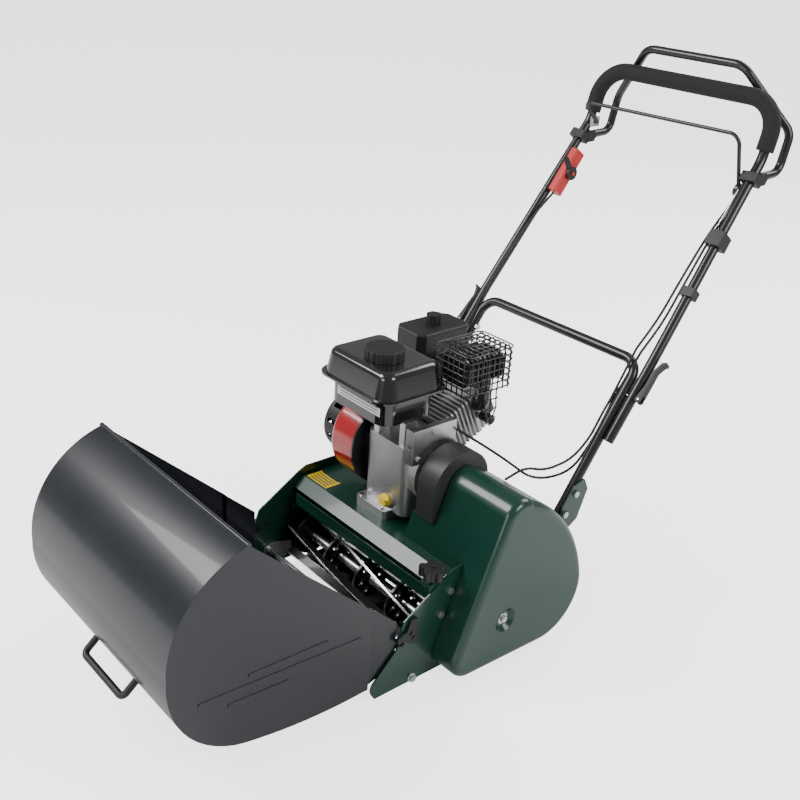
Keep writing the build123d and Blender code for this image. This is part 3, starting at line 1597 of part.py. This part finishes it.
with BuildPart() as box_space:
    for reach, inset, last in ((box_x, box_t, joggle_y - box_t), (tongue_x, box_t, -250)):
        with BuildSketch(Plane.YZ.offset(-reach + inset)):
            with BuildLine():
                box_front()
                Polyline((joggle_y, 46), (-250, 76), (-250, 300), (-560, 520), lip)
            make_face()
            offset(amount=-box_t)
            with Locations((last + 300, 300)):
                Rectangle(600, 900, mode=Mode.SUBTRACT)
        extrude(amount=2 * (reach - inset))

with BuildPart() as grass_box:
    for reach, last in ((box_x, joggle_y), (tongue_x, tongue_end)):
        with BuildSketch(Plane.YZ.offset(-reach)):
            with BuildLine():
                box_front()
                Polyline((joggle_y, 46), (tongue_end, 64), (tongue_end, 151), lip)
            make_face()
            with Locations((last + 300, 300)):
                Rectangle(600, 900, mode=Mode.SUBTRACT)
        extrude(amount=2 * reach)
    add(box_space.part, mode=Mode.SUBTRACT)
    for side in (1, -1):
        with BuildSketch(Plane.YZ.offset(side * (box_x - box_t))):
            for middle, length, turn in box_ribs:
                with Locations(Location(middle, turn)):
                    SlotCenterToCenter(length, 8)
        extrude(amount=side * (box_t + 1.2))
        with BuildSketch(Plane.YZ.offset(tongue_x - box_t if side > 0 else -tongue_x)):
            with Locations((hang_y, hang_z)):
                Circle(9)
            with Locations((hang_y - 8, hang_z)):
                Rectangle(14, 18)
        extrude(amount=box_t)
        with BuildSketch(facing(side * (tongue_x - 5), hang_y, hang_z, side)):
            Circle(hang_r)
        extrude(amount=plate_out + 8 - tongue_x + 5)
    with BuildSketch(Plane.YZ.offset(-box_x - 1)):
        with Locations(lip):
            Circle(4)
    extrude(amount=2 * box_x + 2)
grass_box.part.label = "grass_box"
export_step(grass_box.part, "parts/grass_box.step")

with BuildPart() as box_handle:
    add(bent_bar([(65, -694, 131), (65, -722, 106), (-65, -722, 106), (-65, -694, 131)], [10, 10], 6))
    add(grass_box.part, mode=Mode.SUBTRACT)
    add(box_space.part, mode=Mode.SUBTRACT)
box_handle.part.label = "box_handle"
export_step(box_handle.part, "parts/box_handle.step")

latch_x = plate_out + 1.5
for side, end in ((1, "left"), (-1, "right")):
    with BuildPart() as box_latch:
        with BuildSketch(Plane.YZ.offset(side * latch_x)):
            with BuildLine():
                Polyline((-304, 112), (-304, 122), (-284, 130), (-276, 151), (-262, 151), (-258, 104),
                         (-266, 100), (-278, 104), (-284, 112), close=True)
            make_face()
            with Locations((latch_y, latch_z)):
                Circle(latch_pin_r, mode=Mode.SUBTRACT)
            with Locations((-276, 124)):
                SlotOverall(9, 4, rotation=70, mode=Mode.SUBTRACT)
        extrude(amount=side * 4)
        with BuildSketch(facing(side * (plate_in - 2), latch_y, latch_z, side)):
            Circle(latch_pin_r)
        extrude(amount=latch_x + 6 - plate_in + 2)
    box_latch.part.label = f"box_latch_{end}"
    export_step(box_latch.part, f"parts/box_latch_{end}.step")
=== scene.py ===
import bpy
import math
import numpy as np
from mathutils import Matrix, Vector


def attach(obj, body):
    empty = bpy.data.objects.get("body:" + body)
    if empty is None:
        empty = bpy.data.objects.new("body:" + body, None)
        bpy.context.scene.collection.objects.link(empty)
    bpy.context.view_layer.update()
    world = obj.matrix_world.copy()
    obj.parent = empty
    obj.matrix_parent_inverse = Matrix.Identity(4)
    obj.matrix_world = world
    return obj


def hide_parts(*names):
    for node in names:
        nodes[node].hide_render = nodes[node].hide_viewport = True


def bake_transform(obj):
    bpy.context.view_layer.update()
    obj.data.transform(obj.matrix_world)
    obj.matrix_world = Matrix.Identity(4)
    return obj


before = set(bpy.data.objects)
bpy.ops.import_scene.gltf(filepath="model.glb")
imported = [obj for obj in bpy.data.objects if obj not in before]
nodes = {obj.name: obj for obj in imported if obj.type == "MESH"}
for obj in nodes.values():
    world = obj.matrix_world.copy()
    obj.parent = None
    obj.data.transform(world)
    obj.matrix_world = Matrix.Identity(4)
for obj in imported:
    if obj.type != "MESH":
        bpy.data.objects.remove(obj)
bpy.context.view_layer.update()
print("frame loaded", len(nodes), "nodes")

# ---- camera ----
camera = {
    "place": (1.25921, -1.28002, 1.23347),
    "yaw": 47.75,
    "down": 25.23,
    "roll": -4.1,
    "lens": 47.8,
}
yaw = math.radians(camera["yaw"])
down = math.radians(camera["down"])
roll = math.radians(camera["roll"])
level = Vector((-math.sin(yaw), math.cos(yaw), 0))
forward = level * math.cos(down) - Vector((0, 0, 1)) * math.sin(down)
below = -level * math.sin(down) - Vector((0, 0, 1)) * math.cos(down)
side = Vector((math.cos(yaw), math.sin(yaw), 0))
right = side * math.cos(roll) + below * math.sin(roll)
lower = below * math.cos(roll) - side * math.sin(roll)
eye = bpy.data.objects.new("camera", bpy.data.cameras.new("camera"))
bpy.context.scene.collection.objects.link(eye)
turned = Matrix((right, -lower, -forward)).transposed().to_4x4()
eye.matrix_world = Matrix.Translation(camera["place"]) @ turned
eye.data.lens = camera["lens"]
eye.data.sensor_width = 36
eye.data.clip_start = 0.05
eye.data.clip_end = 60
bpy.context.scene.camera = eye


# ---- materials ----
def shader(
    name, base, rough, metal=0.0, coat=0.0, spread=0.05, grain=0.0, grainSize=400.0, tint=0.04
):
    """Principled surface: colour, roughness and relief varied by noise in the part's own space."""
    made = bpy.data.materials.new(name)
    made.use_nodes = True
    tree = made.node_tree
    main = tree.nodes["Principled BSDF"]
    where = tree.nodes.new("ShaderNodeTexCoord")
    main.inputs["Metallic"].default_value = metal
    main.inputs["Coat Weight"].default_value = coat
    main.inputs["Coat Roughness"].default_value = 0.06
    broad = tree.nodes.new("ShaderNodeTexNoise")
    broad.inputs["Scale"].default_value = 14.0
    broad.inputs["Detail"].default_value = 5.0
    tree.links.new(where.outputs["Object"], broad.inputs["Vector"])
    spanRough = tree.nodes.new("ShaderNodeMapRange")
    spanRough.inputs["To Min"].default_value = max(rough - spread, 0.02)
    spanRough.inputs["To Max"].default_value = rough + spread
    tree.links.new(broad.outputs["Fac"], spanRough.inputs["Value"])
    tree.links.new(spanRough.outputs["Result"], main.inputs["Roughness"])
    shade = tree.nodes.new("ShaderNodeMix")
    shade.data_type = "RGBA"
    shade.inputs["A"].default_value = (*[c * (1 - tint) for c in base], 1)
    shade.inputs["B"].default_value = (*[min(c * (1 + tint) + 0.002, 1) for c in base], 1)
    tree.links.new(broad.outputs["Fac"], shade.inputs["Factor"])
    tree.links.new(shade.outputs["Result"], main.inputs["Base Color"])
    rounded = tree.nodes.new("ShaderNodeBevel")
    rounded.samples = 4
    rounded.inputs["Radius"].default_value = 0.0009
    fine = tree.nodes.new("ShaderNodeTexNoise")
    fine.inputs["Scale"].default_value = grainSize
    fine.inputs["Detail"].default_value = 3.0
    tree.links.new(where.outputs["Object"], fine.inputs["Vector"])
    relief = tree.nodes.new("ShaderNodeBump")
    relief.inputs["Strength"].default_value = grain
    relief.inputs["Distance"].default_value = 0.0006
    tree.links.new(fine.outputs["Fac"], relief.inputs["Height"])
    tree.links.new(rounded.outputs["Normal"], relief.inputs["Normal"])
    tree.links.new(relief.outputs["Normal"], main.inputs["Normal"])
    return made


def split(name, inside, outside, axis, origin, edge, radial=False):
    """Two surfaces in one piece, divided by distance along an axis or from a line through the origin."""
    made = bpy.data.materials.new(name)
    made.use_nodes = True
    tree = made.node_tree
    tree.nodes.clear()
    out = tree.nodes.new("ShaderNodeOutputMaterial")
    mixed = tree.nodes.new("ShaderNodeMixShader")
    where = tree.nodes.new("ShaderNodeTexCoord")
    moved = tree.nodes.new("ShaderNodeVectorMath")
    moved.operation = "SUBTRACT"
    moved.inputs[1].default_value = origin
    tree.links.new(where.outputs["Object"], moved.inputs[0])
    measure = tree.nodes.new("ShaderNodeVectorMath")
    if radial:
        flat = tree.nodes.new("ShaderNodeVectorMath")
        flat.operation = "MULTIPLY"
        flat.inputs[1].default_value = [0 if a else 1 for a in axis]
        tree.links.new(moved.outputs["Vector"], flat.inputs[0])
        measure.operation = "LENGTH"
        tree.links.new(flat.outputs["Vector"], measure.inputs[0])
    else:
        measure.operation = "DOT_PRODUCT"
        measure.inputs[1].default_value = axis
        tree.links.new(moved.outputs["Vector"], measure.inputs[0])
    step = tree.nodes.new("ShaderNodeMath")
    step.operation = "GREATER_THAN"
    step.inputs[1].default_value = edge
    tree.links.new(measure.outputs["Value"], step.inputs[0])
    tree.links.new(step.outputs["Value"], mixed.inputs["Fac"])
    for source, socket in ((inside, 1), (outside, 2)):
        group = copyInto(tree, source)
        tree.links.new(group, mixed.inputs[socket])
    tree.links.new(mixed.outputs["Shader"], out.inputs["Surface"])
    return made


def copyInto(tree, source):
    """Copies another material's nodes into this tree and returns its surface output."""
    twins = {}
    for node in source.node_tree.nodes:
        if node.type == "OUTPUT_MATERIAL":
            continue
        twin = tree.nodes.new(node.bl_idname)
        twins[node.name] = twin
        for field in ("data_type", "operation", "samples"):
            if hasattr(node, field):
                setattr(twin, field, getattr(node, field))
        for index, socket in enumerate(node.inputs):
            if hasattr(socket, "default_value"):
                twin.inputs[index].default_value = socket.default_value
    for link in source.node_tree.links:
        if link.to_node.type == "OUTPUT_MATERIAL":
            continue
        start = twins[link.from_node.name].outputs
        end = twins[link.to_node.name].inputs
        fromIndex = list(link.from_node.outputs).index(link.from_socket)
        toIndex = list(link.to_node.inputs).index(link.to_socket)
        tree.links.new(start[fromIndex], end[toIndex])
    return next(n for n in twins.values() if n.type == "BSDF_PRINCIPLED").outputs["BSDF"]


greenPaint = shader(
    "greenPaint", (0.003, 0.040, 0.026), 0.30, coat=0.35, spread=0.03, grain=0.03, grainSize=90
)
boxPaint = shader(
    "boxPaint", (0.009, 0.011, 0.016), 0.33, coat=0.25, spread=0.03, grain=0.03, grainSize=80
)
blackPaint = shader(
    "blackPaint", (0.010, 0.010, 0.011), 0.30, coat=0.5, spread=0.05, grain=0.04, grainSize=160
)
tankPaint = shader(
    "tankPaint", (0.008, 0.008, 0.009), 0.16, coat=1.0, spread=0.02, grain=0.02, grainSize=60
)
tubePaint = shader("tubePaint", (0.009, 0.009, 0.010), 0.34, coat=0.3, grain=0.08, grainSize=700)
blackPlastic = shader("blackPlastic", (0.012, 0.012, 0.013), 0.46, grain=0.25, grainSize=900)
guardPlastic = shader("guardPlastic", (0.030, 0.031, 0.034), 0.42, grain=0.2, grainSize=900)
foam = shader("foam", (0.012, 0.012, 0.013), 0.82, grain=0.9, grainSize=1100, tint=0.2)
redPaint = shader("redPaint", (0.45, 0.008, 0.010), 0.22, coat=0.8, grain=0.03, grainSize=90)
redPlastic = shader("redPlastic", (0.62, 0.02, 0.015), 0.35, coat=0.2, grain=0.15, grainSize=800)
yellowPlastic = shader("yellowPlastic", (0.85, 0.66, 0.03), 0.38, grain=0.15, grainSize=800)
castAlloy = shader(
    "castAlloy", (0.56, 0.56, 0.57), 0.42, metal=0.9, spread=0.1, grain=0.7, grainSize=650, tint=0.12
)
zinc = shader(
    "zinc", (0.66, 0.67, 0.69), 0.30, metal=1.0, spread=0.10, grain=0.1, grainSize=220, tint=0.12
)
steel = shader(
    "steel", (0.60, 0.60, 0.61), 0.28, metal=1.0, spread=0.1, grain=0.1, grainSize=350, tint=0.1
)
darkSteel = shader(
    "darkSteel", (0.055, 0.055, 0.058), 0.40, metal=0.6, spread=0.1, grain=0.3, grainSize=420, tint=0.2
)
reelPaint = shader(
    "reelPaint", (0.012, 0.013, 0.014), 0.38, coat=0.3, grain=0.2, grainSize=350, tint=0.2
)
rubber = shader("rubber", (0.02, 0.02, 0.021), 0.62, grain=0.4, grainSize=600)
reelEdge = split("reelEdge", reelPaint, steel, (1, 0, 0), (0, -0.18, 0.072), 0.0585, radial=True)
knobMix = split("knobMix", zinc, blackPlastic, (0, 0, 1), (0, 0, 0), 0.1975)
tilt = math.radians(25)
headMix = split(
    "headMix", castAlloy, blackPaint, (0, math.cos(tilt), math.sin(tilt)), (0, -0.088, 0.302), 0.172
)
plugMix = split("plugMix", steel, blackPlastic, (1, 0, 0), (0, 0, 0), 0.030)
finish = {
    "side_plate_left": greenPaint,
    "side_plate_right": greenPaint,
    "engine_deck": greenPaint,
    "deflector_plate": greenPaint,
    "drive_cover": greenPaint,
    "chain_case": greenPaint,
    "handle_brackets": greenPaint,
    "roller_drum_left": greenPaint,
    "roller_drum_right": greenPaint,
    "bottom_blade": darkSteel,
    "plate_bearings": darkSteel,
    "drive_chains": darkSteel,
    "clutch_guard": guardPlastic,
    "crankcase": castAlloy,
    "cylinder_block": castAlloy,
    "cylinder_head": headMix,
    "blower_housing": redPaint,
    "back_plate": blackPaint,
    "recoil_cup": blackPlastic,
    "fuel_tank": tankPaint,
    "air_cleaner_base": blackPlastic,
    "air_cleaner_cover": blackPlastic,
    "muffler": blackPaint,
    "muffler_guard": blackPaint,
    "support_plates": zinc,
    "fasteners": zinc,
    "lower_handle": tubePaint,
    "pivot_bolts": zinc,
    "spark_plug": plugMix,
    "cables_lower": blackPlastic,
    "reel_shaft": steel,
    "reel_spiders": reelPaint,
    "reel_blades": reelEdge,
    "roller_axle": steel,
    "roller_carrier": zinc,
    "front_roller": rubber,
    "height_knob": knobMix,
    "crankshaft": steel,
    "flywheel": darkSteel,
    "output_shaft": steel,
    "upper_handle": tubePaint,
    "foam_grip": foam,
    "handle_clamps": blackPlastic,
    "control_bracket": zinc,
    "throttle_body": redPlastic,
    "throttle_lever": blackPlastic,
    "cables_upper": blackPlastic,
    "cam_lever_left": blackPlastic,
    "cam_lever_right": blackPlastic,
    "drive_bail": tubePaint,
    "blade_bail": tubePaint,
    "fuel_cap": blackPlastic,
    "air_cleaner_knob": blackPlastic,
    "dipstick": yellowPlastic,
    "starter_grip": blackPlastic,
    "grass_box": boxPaint,
    "box_handle": blackPlastic,
    "box_latch_left": blackPlastic,
    "box_latch_right": blackPlastic,
}
for name, node in nodes.items():
    node.data.materials.clear()
    node.data.materials.append(finish[name])
print("materials set")


# ---- helpers for added pieces ----
def addMesh(name, points, faces, material, body, smooth=True):
    """A new piece from vertex and face arrays, riding a body."""
    mesh = bpy.data.meshes.new(name)
    mesh.from_pydata([tuple(p) for p in points], [], [tuple(f) for f in faces])
    mesh.update()
    if smooth:
        mesh.polygons.foreach_set("use_smooth", np.ones(len(mesh.polygons), dtype=bool))
    mesh.materials.append(material)
    made = bpy.data.objects.new(name, mesh)
    bpy.context.scene.collection.objects.link(made)
    if body:
        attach(made, body)
    return made


def tubeArrays(path, radius, sides=12):
    """Round tube: rings of points about a polyline, closed with a fan at each end."""
    path = np.asarray(path, float)
    tangents = np.gradient(path, axis=0)
    tangents /= np.linalg.norm(tangents, axis=1)[:, None]
    guide = np.array([0.31, 0.17, 0.93])
    across = np.cross(tangents, guide)
    across /= np.linalg.norm(across, axis=1)[:, None]
    up = np.cross(across, tangents)
    angle = np.linspace(0, 2 * np.pi, sides, endpoint=False)
    ring = across[:, None] * np.cos(angle)[None, :, None] + up[:, None] * np.sin(angle)[None, :, None]
    points = (path[:, None] + radius * ring).reshape(-1, 3)
    count = len(path)
    i, j = np.meshgrid(np.arange(count - 1), np.arange(sides), indexing="ij")
    k = (j + 1) % sides
    quads = np.stack([i * sides + j, i * sides + k, (i + 1) * sides + k, (i + 1) * sides + j], -1)
    faces = [list(q) for q in quads.reshape(-1, 4)]
    faces.append(list(range(sides))[::-1])
    faces.append([(count - 1) * sides + s for s in range(sides)])
    return points, faces


def joined(pieces):
    """Several point and face arrays as one."""
    points, faces, base = [], [], 0
    for somePoints, someFaces in pieces:
        points.append(somePoints)
        faces += [[base + f for f in face] for face in someFaces]
        base += len(somePoints)
    return np.concatenate(points), faces


# ---- wire guard over the muffler: round wires in closed hoops and cross rods ----
cage = {"low": (-0.020, -0.045, 0.438), "high": (0.072, 0.075, 0.516), "wire": 0.00145, "corner": 0.012}
wires = []
wireSides = 8
bracketX = 0.0705
post = {"x": 0.025, "radius": 0.002, "heights": (0.502, 0.508, 0.515)}


def hoop(a, b, corner, place, steps=6):
    """Rounded rectangle between corners a and b, as points lifted into space by place."""
    corners = ((b[0], b[1], 0), (a[0], b[1], 90), (a[0], a[1], 180), (b[0], a[1], 270))
    loop = []
    for x, y, start in corners:
        cx = x - corner if x == b[0] else x + corner
        cy = y - corner if y == b[1] else y + corner
        for t in np.linspace(start, start + 90, steps):
            loop.append((cx + corner * math.cos(math.radians(t)), cy + corner * math.sin(math.radians(t))))
    loop.append(loop[0])
    return [place(u, v) for u, v in loop]


low, high, wire = cage["low"], cage["high"], cage["wire"]
inset = wire
for z in np.linspace(low[2] + wire, high[2] - wire, 7):
    path = hoop(
        (low[0] + inset, low[1] + inset),
        (high[0] - inset, high[1] - inset),
        cage["corner"],
        lambda u, v, z=z: (u, v, z),
    )
    wires.append(tubeArrays(path, wire, wireSides))
for y in np.linspace(low[1] + 0.012, high[1] - 0.012, 8):
    path = [
        (high[0] - inset, y, low[2] - 0.002),
        (high[0] - inset, y, high[2] - 0.010),
        (high[0] - 0.008, y, high[2] - inset),
        (low[0] + 0.008, y, high[2] - inset),
        (low[0] + inset, y, high[2] - 0.010),
        (low[0] + inset, y, low[2] - 0.002),
    ]
    wires.append(tubeArrays(path, wire, wireSides))
for x in np.linspace(low[0] + 0.012, high[0] - 0.012, 6):
    path = [
        (x, low[1] + inset, low[2] - 0.002),
        (x, low[1] + inset, high[2] - 0.010),
        (x, low[1] + 0.008, high[2] - inset),
        (x, high[1] - 0.008, high[2] - inset),
        (x, high[1] - inset, high[2] - 0.010),
        (x, high[1] - inset, low[2] - 0.002),
    ]
    wires.append(tubeArrays(path, wire, wireSides))
for y in (0.006, 0.020, 0.034):
    path = [(bracketX, y, 0.440), (bracketX, y + 0.004, 0.400), (bracketX, 0.026, 0.366)]
    wires.append(tubeArrays(path, wire, wireSides))
for z, a, b in ((0.420, 0.004, 0.040), (0.400, 0.008, 0.040), (0.382, 0.014, 0.038)):
    path = [(bracketX, a, z), (bracketX, (a + b) / 2, z), (bracketX, b, z)]
    wires.append(tubeArrays(path, wire, wireSides))
for y in (0.0, 0.034):
    path = [(post["x"], y, z) for z in post["heights"]]
    wires.append(tubeArrays(path, post["radius"], wireSides))
points, faces = joined(wires)
guard = addMesh("muffler_guard_wires", points, faces, blackPaint, "machine")
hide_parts("muffler_guard")
print("guard made")


# ---- cables across the fold: each a straight round rod from its lower end to its upper end ----
cableRadius = 0.0025
cableSteps = 24
cables = {
    "throttle": {"low": (-0.205, 0.244, 0.462), "high": (-0.207, 0.272, 0.505)},
    "drive": {"low": (0.1876, 0.231, 0.416), "high": (0.200, 0.274, 0.504)},
    "clutch": {"low": (0.187, 0.225, 0.420), "high": (0.193, 0.268, 0.510)},
}
for name, cable in cables.items():
    start, end = np.array(cable["low"]), np.array(cable["high"])
    along = np.linspace(0, 1, cableSteps)[:, None]
    path = start + (end - start) * along
    points, faces = tubeArrays(path, cableRadius)
    bridge = addMesh(name + "_cable_bridge", points, faces, rubber, None)
    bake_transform(bridge)
print("cables bridged")


# ---- labels: thin plates just proud of the surface they are on ----
def labelShader(name, ground, ink, stripes, edge):
    """Ground colour with soft bars of ink, laid out on the label's own coordinates."""
    made = bpy.data.materials.new(name)
    made.use_nodes = True
    tree = made.node_tree
    main = tree.nodes["Principled BSDF"]
    main.inputs["Roughness"].default_value = 0.3
    main.inputs["Coat Weight"].default_value = 0.4
    where = tree.nodes.new("ShaderNodeAttribute")
    where.attribute_name = "spot"
    parts = tree.nodes.new("ShaderNodeSeparateXYZ")
    tree.links.new(where.outputs["Vector"], parts.inputs["Vector"])
    wave = tree.nodes.new("ShaderNodeMath")
    wave.operation = "MULTIPLY"
    wave.inputs[1].default_value = stripes
    tree.links.new(parts.outputs["Y"], wave.inputs[0])
    part = tree.nodes.new("ShaderNodeMath")
    part.operation = "FRACT"
    tree.links.new(wave.outputs["Value"], part.inputs[0])
    bar = tree.nodes.new("ShaderNodeMath")
    bar.operation = "GREATER_THAN"
    bar.inputs[1].default_value = 0.62
    tree.links.new(part.outputs["Value"], bar.inputs[0])
    inner = tree.nodes.new("ShaderNodeMath")
    inner.operation = "COMPARE"
    inner.inputs[1].default_value = 0.5
    inner.inputs[2].default_value = edge
    tree.links.new(parts.outputs["X"], inner.inputs[0])
    both = tree.nodes.new("ShaderNodeMath")
    both.operation = "MULTIPLY"
    tree.links.new(bar.outputs["Value"], both.inputs[0])
    tree.links.new(inner.outputs["Value"], both.inputs[1])
    shade = tree.nodes.new("ShaderNodeMix")
    shade.data_type = "RGBA"
    shade.inputs["A"].default_value = (*ground, 1)
    shade.inputs["B"].default_value = (*ink, 1)
    tree.links.new(both.outputs["Value"], shade.inputs["Factor"])
    tree.links.new(shade.outputs["Result"], main.inputs["Base Color"])
    return made


def label(name, corner, alongU, alongV, lift, material, body):
    """A flat plate from one corner along two edges, given thickness by lift."""
    corner, alongU, alongV = np.array(corner), np.array(alongU), np.array(alongV)
    normal = np.cross(alongU, alongV)
    normal = normal / np.linalg.norm(normal) * lift
    flat = np.array([corner, corner + alongU, corner + alongU + alongV, corner + alongV])
    points = np.concatenate([flat, flat + normal])
    faces = [(3, 2, 1, 0), (4, 5, 6, 7), (0, 1, 5, 4), (1, 2, 6, 5), (2, 3, 7, 6), (3, 0, 4, 7)]
    made = addMesh(name, points, faces, material, body, smooth=False)
    spot = made.data.attributes.new("spot", "FLOAT_VECTOR", "POINT")
    spots = np.array([(0, 0, 0), (1, 0, 0), (1, 1, 0), (0, 1, 0)] * 2, dtype=np.float32)
    spot.data.foreach_set("vector", spots.ravel())
    return made


yellowLabel = labelShader("yellowLabel", (0.85, 0.62, 0.02), (0.02, 0.02, 0.02), 5, 0.40)
whiteLabel = labelShader("whiteLabel", (0.75, 0.75, 0.74), (0.12, 0.12, 0.12), 3, 0.44)
labelThickness = 0.0003
labels = {
    "deck_label": {
        "corner": (-0.206, -0.182, 0.1961),
        "along": (0.062, 0, 0),
        "up": (0, 0.036, 0),
        "material": yellowLabel,
    },
    "tank_label": {
        "corner": (-0.110, -0.1901, 0.416),
        "along": (0.120, 0, 0),
        "up": (0, 0, 0.017),
        "material": whiteLabel,
    },
}
for name, sign in labels.items():
    label(name, sign["corner"], sign["along"], sign["up"], labelThickness, sign["material"], "machine")
print("labels made")

# ---- floor, sky and lamps ----
floorMesh = bpy.data.meshes.new("floor")
reach = 20
floorMesh.from_pydata(
    [(-reach, -reach, 0), (reach, -reach, 0), (reach, reach, 0), (-reach, reach, 0)], [], [(0, 1, 2, 3)]
)
floor = bpy.data.objects.new("floor", floorMesh)
bpy.context.scene.collection.objects.link(floor)
paper = bpy.data.materials.new("paper")
paper.use_nodes = True
sheet = paper.node_tree.nodes["Principled BSDF"]
sheet.inputs["Base Color"].default_value = (0.93, 0.93, 0.93, 1)
sheet.inputs["Roughness"].default_value = 0.6
sheet.inputs["Emission Color"].default_value = (1, 1, 1, 1)
rays = paper.node_tree.nodes.new("ShaderNodeLightPath")
glow = paper.node_tree.nodes.new("ShaderNodeMath")
glow.operation = "MULTIPLY"
glow.inputs[1].default_value = 2.2
paper.node_tree.links.new(rays.outputs["Is Camera Ray"], glow.inputs[0])
paper.node_tree.links.new(glow.outputs["Value"], sheet.inputs["Emission Strength"])
floorMesh.materials.append(paper)
sky = bpy.data.worlds.new("sky")
sky.use_nodes = True
sky.node_tree.nodes["Background"].inputs["Color"].default_value = (1, 1, 1, 1)
sky.node_tree.nodes["Background"].inputs["Strength"].default_value = 0.30
bpy.context.scene.world = sky
lamps = {
    "key": {"place": (-1.8, -2.2, 2.9), "size": 1.8, "power": 120},
    "fill": {"place": (3.0, 0.6, 2.2), "size": 1.6, "power": 60},
    "back": {"place": (0.2, 3.0, 2.8), "size": 2.0, "power": 80},
    "front": {"place": (0.2, -3.4, 1.2), "size": 1.4, "power": 30},
}
for name, lamp in lamps.items():
    light = bpy.data.lights.new(name, "AREA")
    light.shape = "SQUARE"
    light.size = lamp["size"]
    light.energy = lamp["power"]
    made = bpy.data.objects.new(name, light)
    bpy.context.scene.collection.objects.link(made)
    made.location = lamp["place"]
    made.rotation_mode = "QUATERNION"
    aim = Vector((0, 0, 0.35)) - Vector(lamp["place"])
    made.rotation_quaternion = aim.to_track_quat("-Z", "Y")
print("lamps set")
